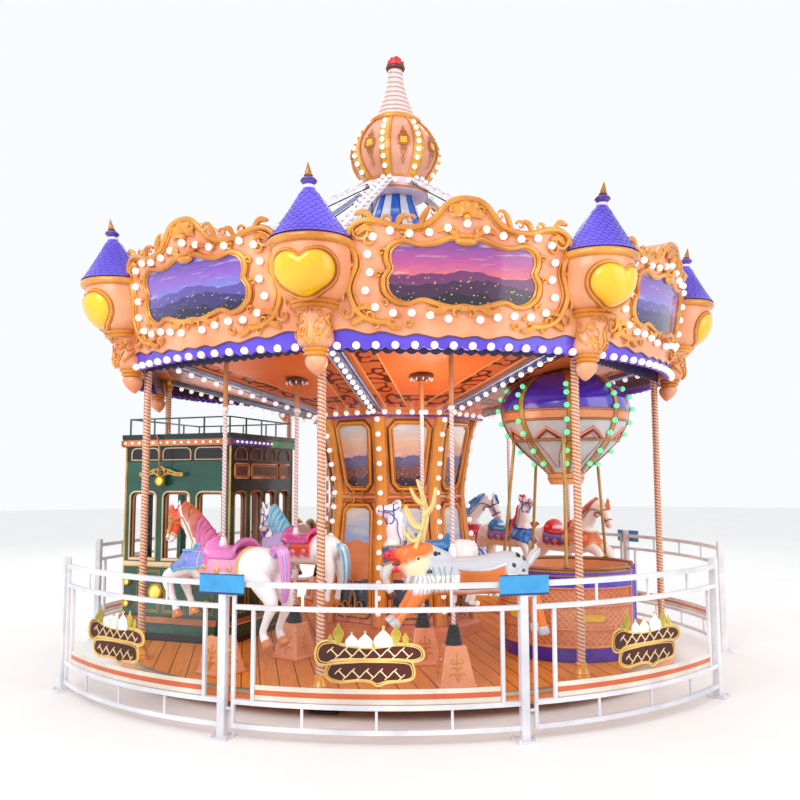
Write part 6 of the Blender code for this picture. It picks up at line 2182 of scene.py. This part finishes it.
for seat_name, radius, angle, lift in seats:
    if seat_name == "outer_1":
        continue
    view = VIEWS.get(seat_name, JUMPING if radius == OUTER_ROW else TUCKED)
    base, face, mane, tail, saddle, bridle, drape, hoof = COATS[seat_name]
    body = skin_of(view)
    poll, axis, throat = head_frame(view)
    face_at = poll + axis * 0.28
    muzzle_at = poll + axis * 0.95 + throat * 0.02
    paint = figure_paint(f"skin_{seat_name}", base, ((face_at.x, face_at.z, 0.135, face),
                                                     (muzzle_at.x, muzzle_at.z, 0.095, "f8e4e0")))
    dressed(side_mapped(body), paint.material)
    parts = mane_parts(body, view, mane, radius == INNER_ROW)
    parts += tail_parts(view, tail)
    parts += hoof_parts(view, coat(hoof))
    parts += face_parts(body, view, False)
    parts += saddle_parts(body, saddle)
    parts += bridle_parts(body, view, bridle)
    parts += drape_parts(body, view, drape)
    figure = placed(sized([body] + parts, INNER_SIZE if radius == INNER_ROW else 1.0),
                    seat_matrix(radius, angle, lift))
    figure.name = f"horse_{seat_name}_figure"
    fitted(figure, f"horse_{seat_name}_rider", "animal_fibreglass", f"horse_{seat_name}")

_, radius, angle, lift = seats[0]
body = skin_of(REINDEER, True)
hide = Finish("reindeer_hide", Coat_Weight=0.45)
x, z, _ = hide.axes(hide.place("UV"))
cells = hide.node("ShaderNodeTexVoronoi", None, {"Vector": hide.place("UV"), "Scale": 14.0})
fur = hide.node("ShaderNodeTexWave", {"wave_type": 'BANDS', "bands_direction": 'X'},
                {"Vector": hide.place("UV"), "Scale": 9.0, "Distortion": 9.0, "Detail": 2.0}, 1)
colour = hide.mix(z > 0.80, tint("f4f2f0"), tint("c9ccd2"))
on_spots = (z > 0.815) * (((x > -0.02) * (x < 0.25)) + ((x < -0.34) * (x > -0.58)))
colour = hide.mix((cells < 0.30) * on_spots, colour, tint("1c1c22"))
colour = hide.mix(((fur - 0.55) * 4.0).math('MINIMUM', 0.55) * (x > 0.02) * (z < 0.86) * (z > 0.62),
                  colour, tint("7c8088"))
blend = hide.noise(9.0) * 0.05
head = (x + z * 0.5 - 0.655 + blend).math('MULTIPLY', 22.0, clamp=True) * (z > 0.80)
colour = hide.mix(head, colour, tint("f8e2b8"))
brow = (x * 0.35 + z - 1.022 + blend).math('MULTIPLY', 28.0, clamp=True) * (x > 0.16)
colour = hide.mix(brow, colour, tint("f27a2c"))
nose = (x - z * 0.35 - 0.105 + blend).math('MULTIPLY', 22.0, clamp=True) * (z > 0.78)
colour = hide.mix(nose, colour, tint("d8242c"))
colour = hide.mix((0.665 - z + blend).math('MULTIPLY', 30.0, clamp=True), colour, tint("f2802c"))
hide.set(Base_Color=colour, Roughness=hide.noise(10.0) * 0.15 + 0.25)
dressed(side_mapped(body), hide.material)
parts = tail_parts(REINDEER, ("f4f2f0", "d8dade"))
parts += hoof_parts(REINDEER, coat("e4e4e4"))
parts += face_parts(body, REINDEER, True)
antler_lines = []
for side in (-1, 1):
    sway = 0.03 * side
    beam = [Vector((x + sway, y * side, z)) for x, y, z in ((0.26, 0.03, 0.99), (0.235, 0.055, 1.08),
        (0.205, 0.075, 1.20), (0.215, 0.095, 1.33), (0.265, 0.115, 1.49))]
    antler_lines.append(flowing(beam, 5))
    for start, middle, end in (((0.225, 0.07, 1.13), (0.30, 0.10, 1.17), (0.36, 0.12, 1.30)),
                               ((0.205, 0.08, 1.23), (0.15, 0.10, 1.30), (0.125, 0.11, 1.43)),
                               ((0.212, 0.09, 1.31), (0.27, 0.12, 1.34), (0.32, 0.13, 1.43)),
                               ((0.24, 0.045, 1.05), (0.30, 0.06, 1.05), (0.36, 0.07, 1.13))):
        antler_lines.append(flowing([Vector((x + sway, y * side, z)) for x, y, z in (start, middle, end)],
                                    5))
parts.append(dressed(tubes("antlers", antler_lines, 0.017, 2, swell=lambda s: 1.15 - 0.75 * s),
                     coat("f6e08c")))
poll, axis, throat = head_frame(REINDEER)
parts.append(dressed(limb([(0.33, 0.905), (0.40, 0.885), (0.455, 0.872)],
                          ((0.0, 0.020), (0.5, 0.018), (1.0, 0.010)), 0.0, 1.4), coat("a81424")))
parts.append(ball_at(poll + axis * 1.0, 0.020, coat("e83038"), (0.8, 1.3, 0.9)))


def flank_cloth(u, v):
    return on_torso(-0.36 + 0.34 * u, (2 * v - 1) * 128)


def flank_rise(u, v):
    """Proud on the flanks and sunk under the skin along the back."""
    return 0.008 if abs(2 * v - 1) > 0.50 else -0.02


parts.append(patch(body, flank_cloth, flank_rise, coat("f4842c"), 18, 36, 0.02))
for side in (-1, 1):
    edge_points = [on_torso(-0.37 + 0.36 * k / 18, side * (64 + 8 * math.sin(math.pi * k / 18)))
                   for k in range(19)]
    parts.append(strap(body, edge_points, 0.011, coat("f8f6f4"), 0.008))
figure = placed(sized([body] + parts, 1.0), seat_matrix(radius, angle, lift))
figure.name = "reindeer_figure"
fitted(figure, "reindeer_rider", "animal_fibreglass", "reindeer")
for pattern, _ in skins.values():
    bpy.data.objects.remove(pattern)
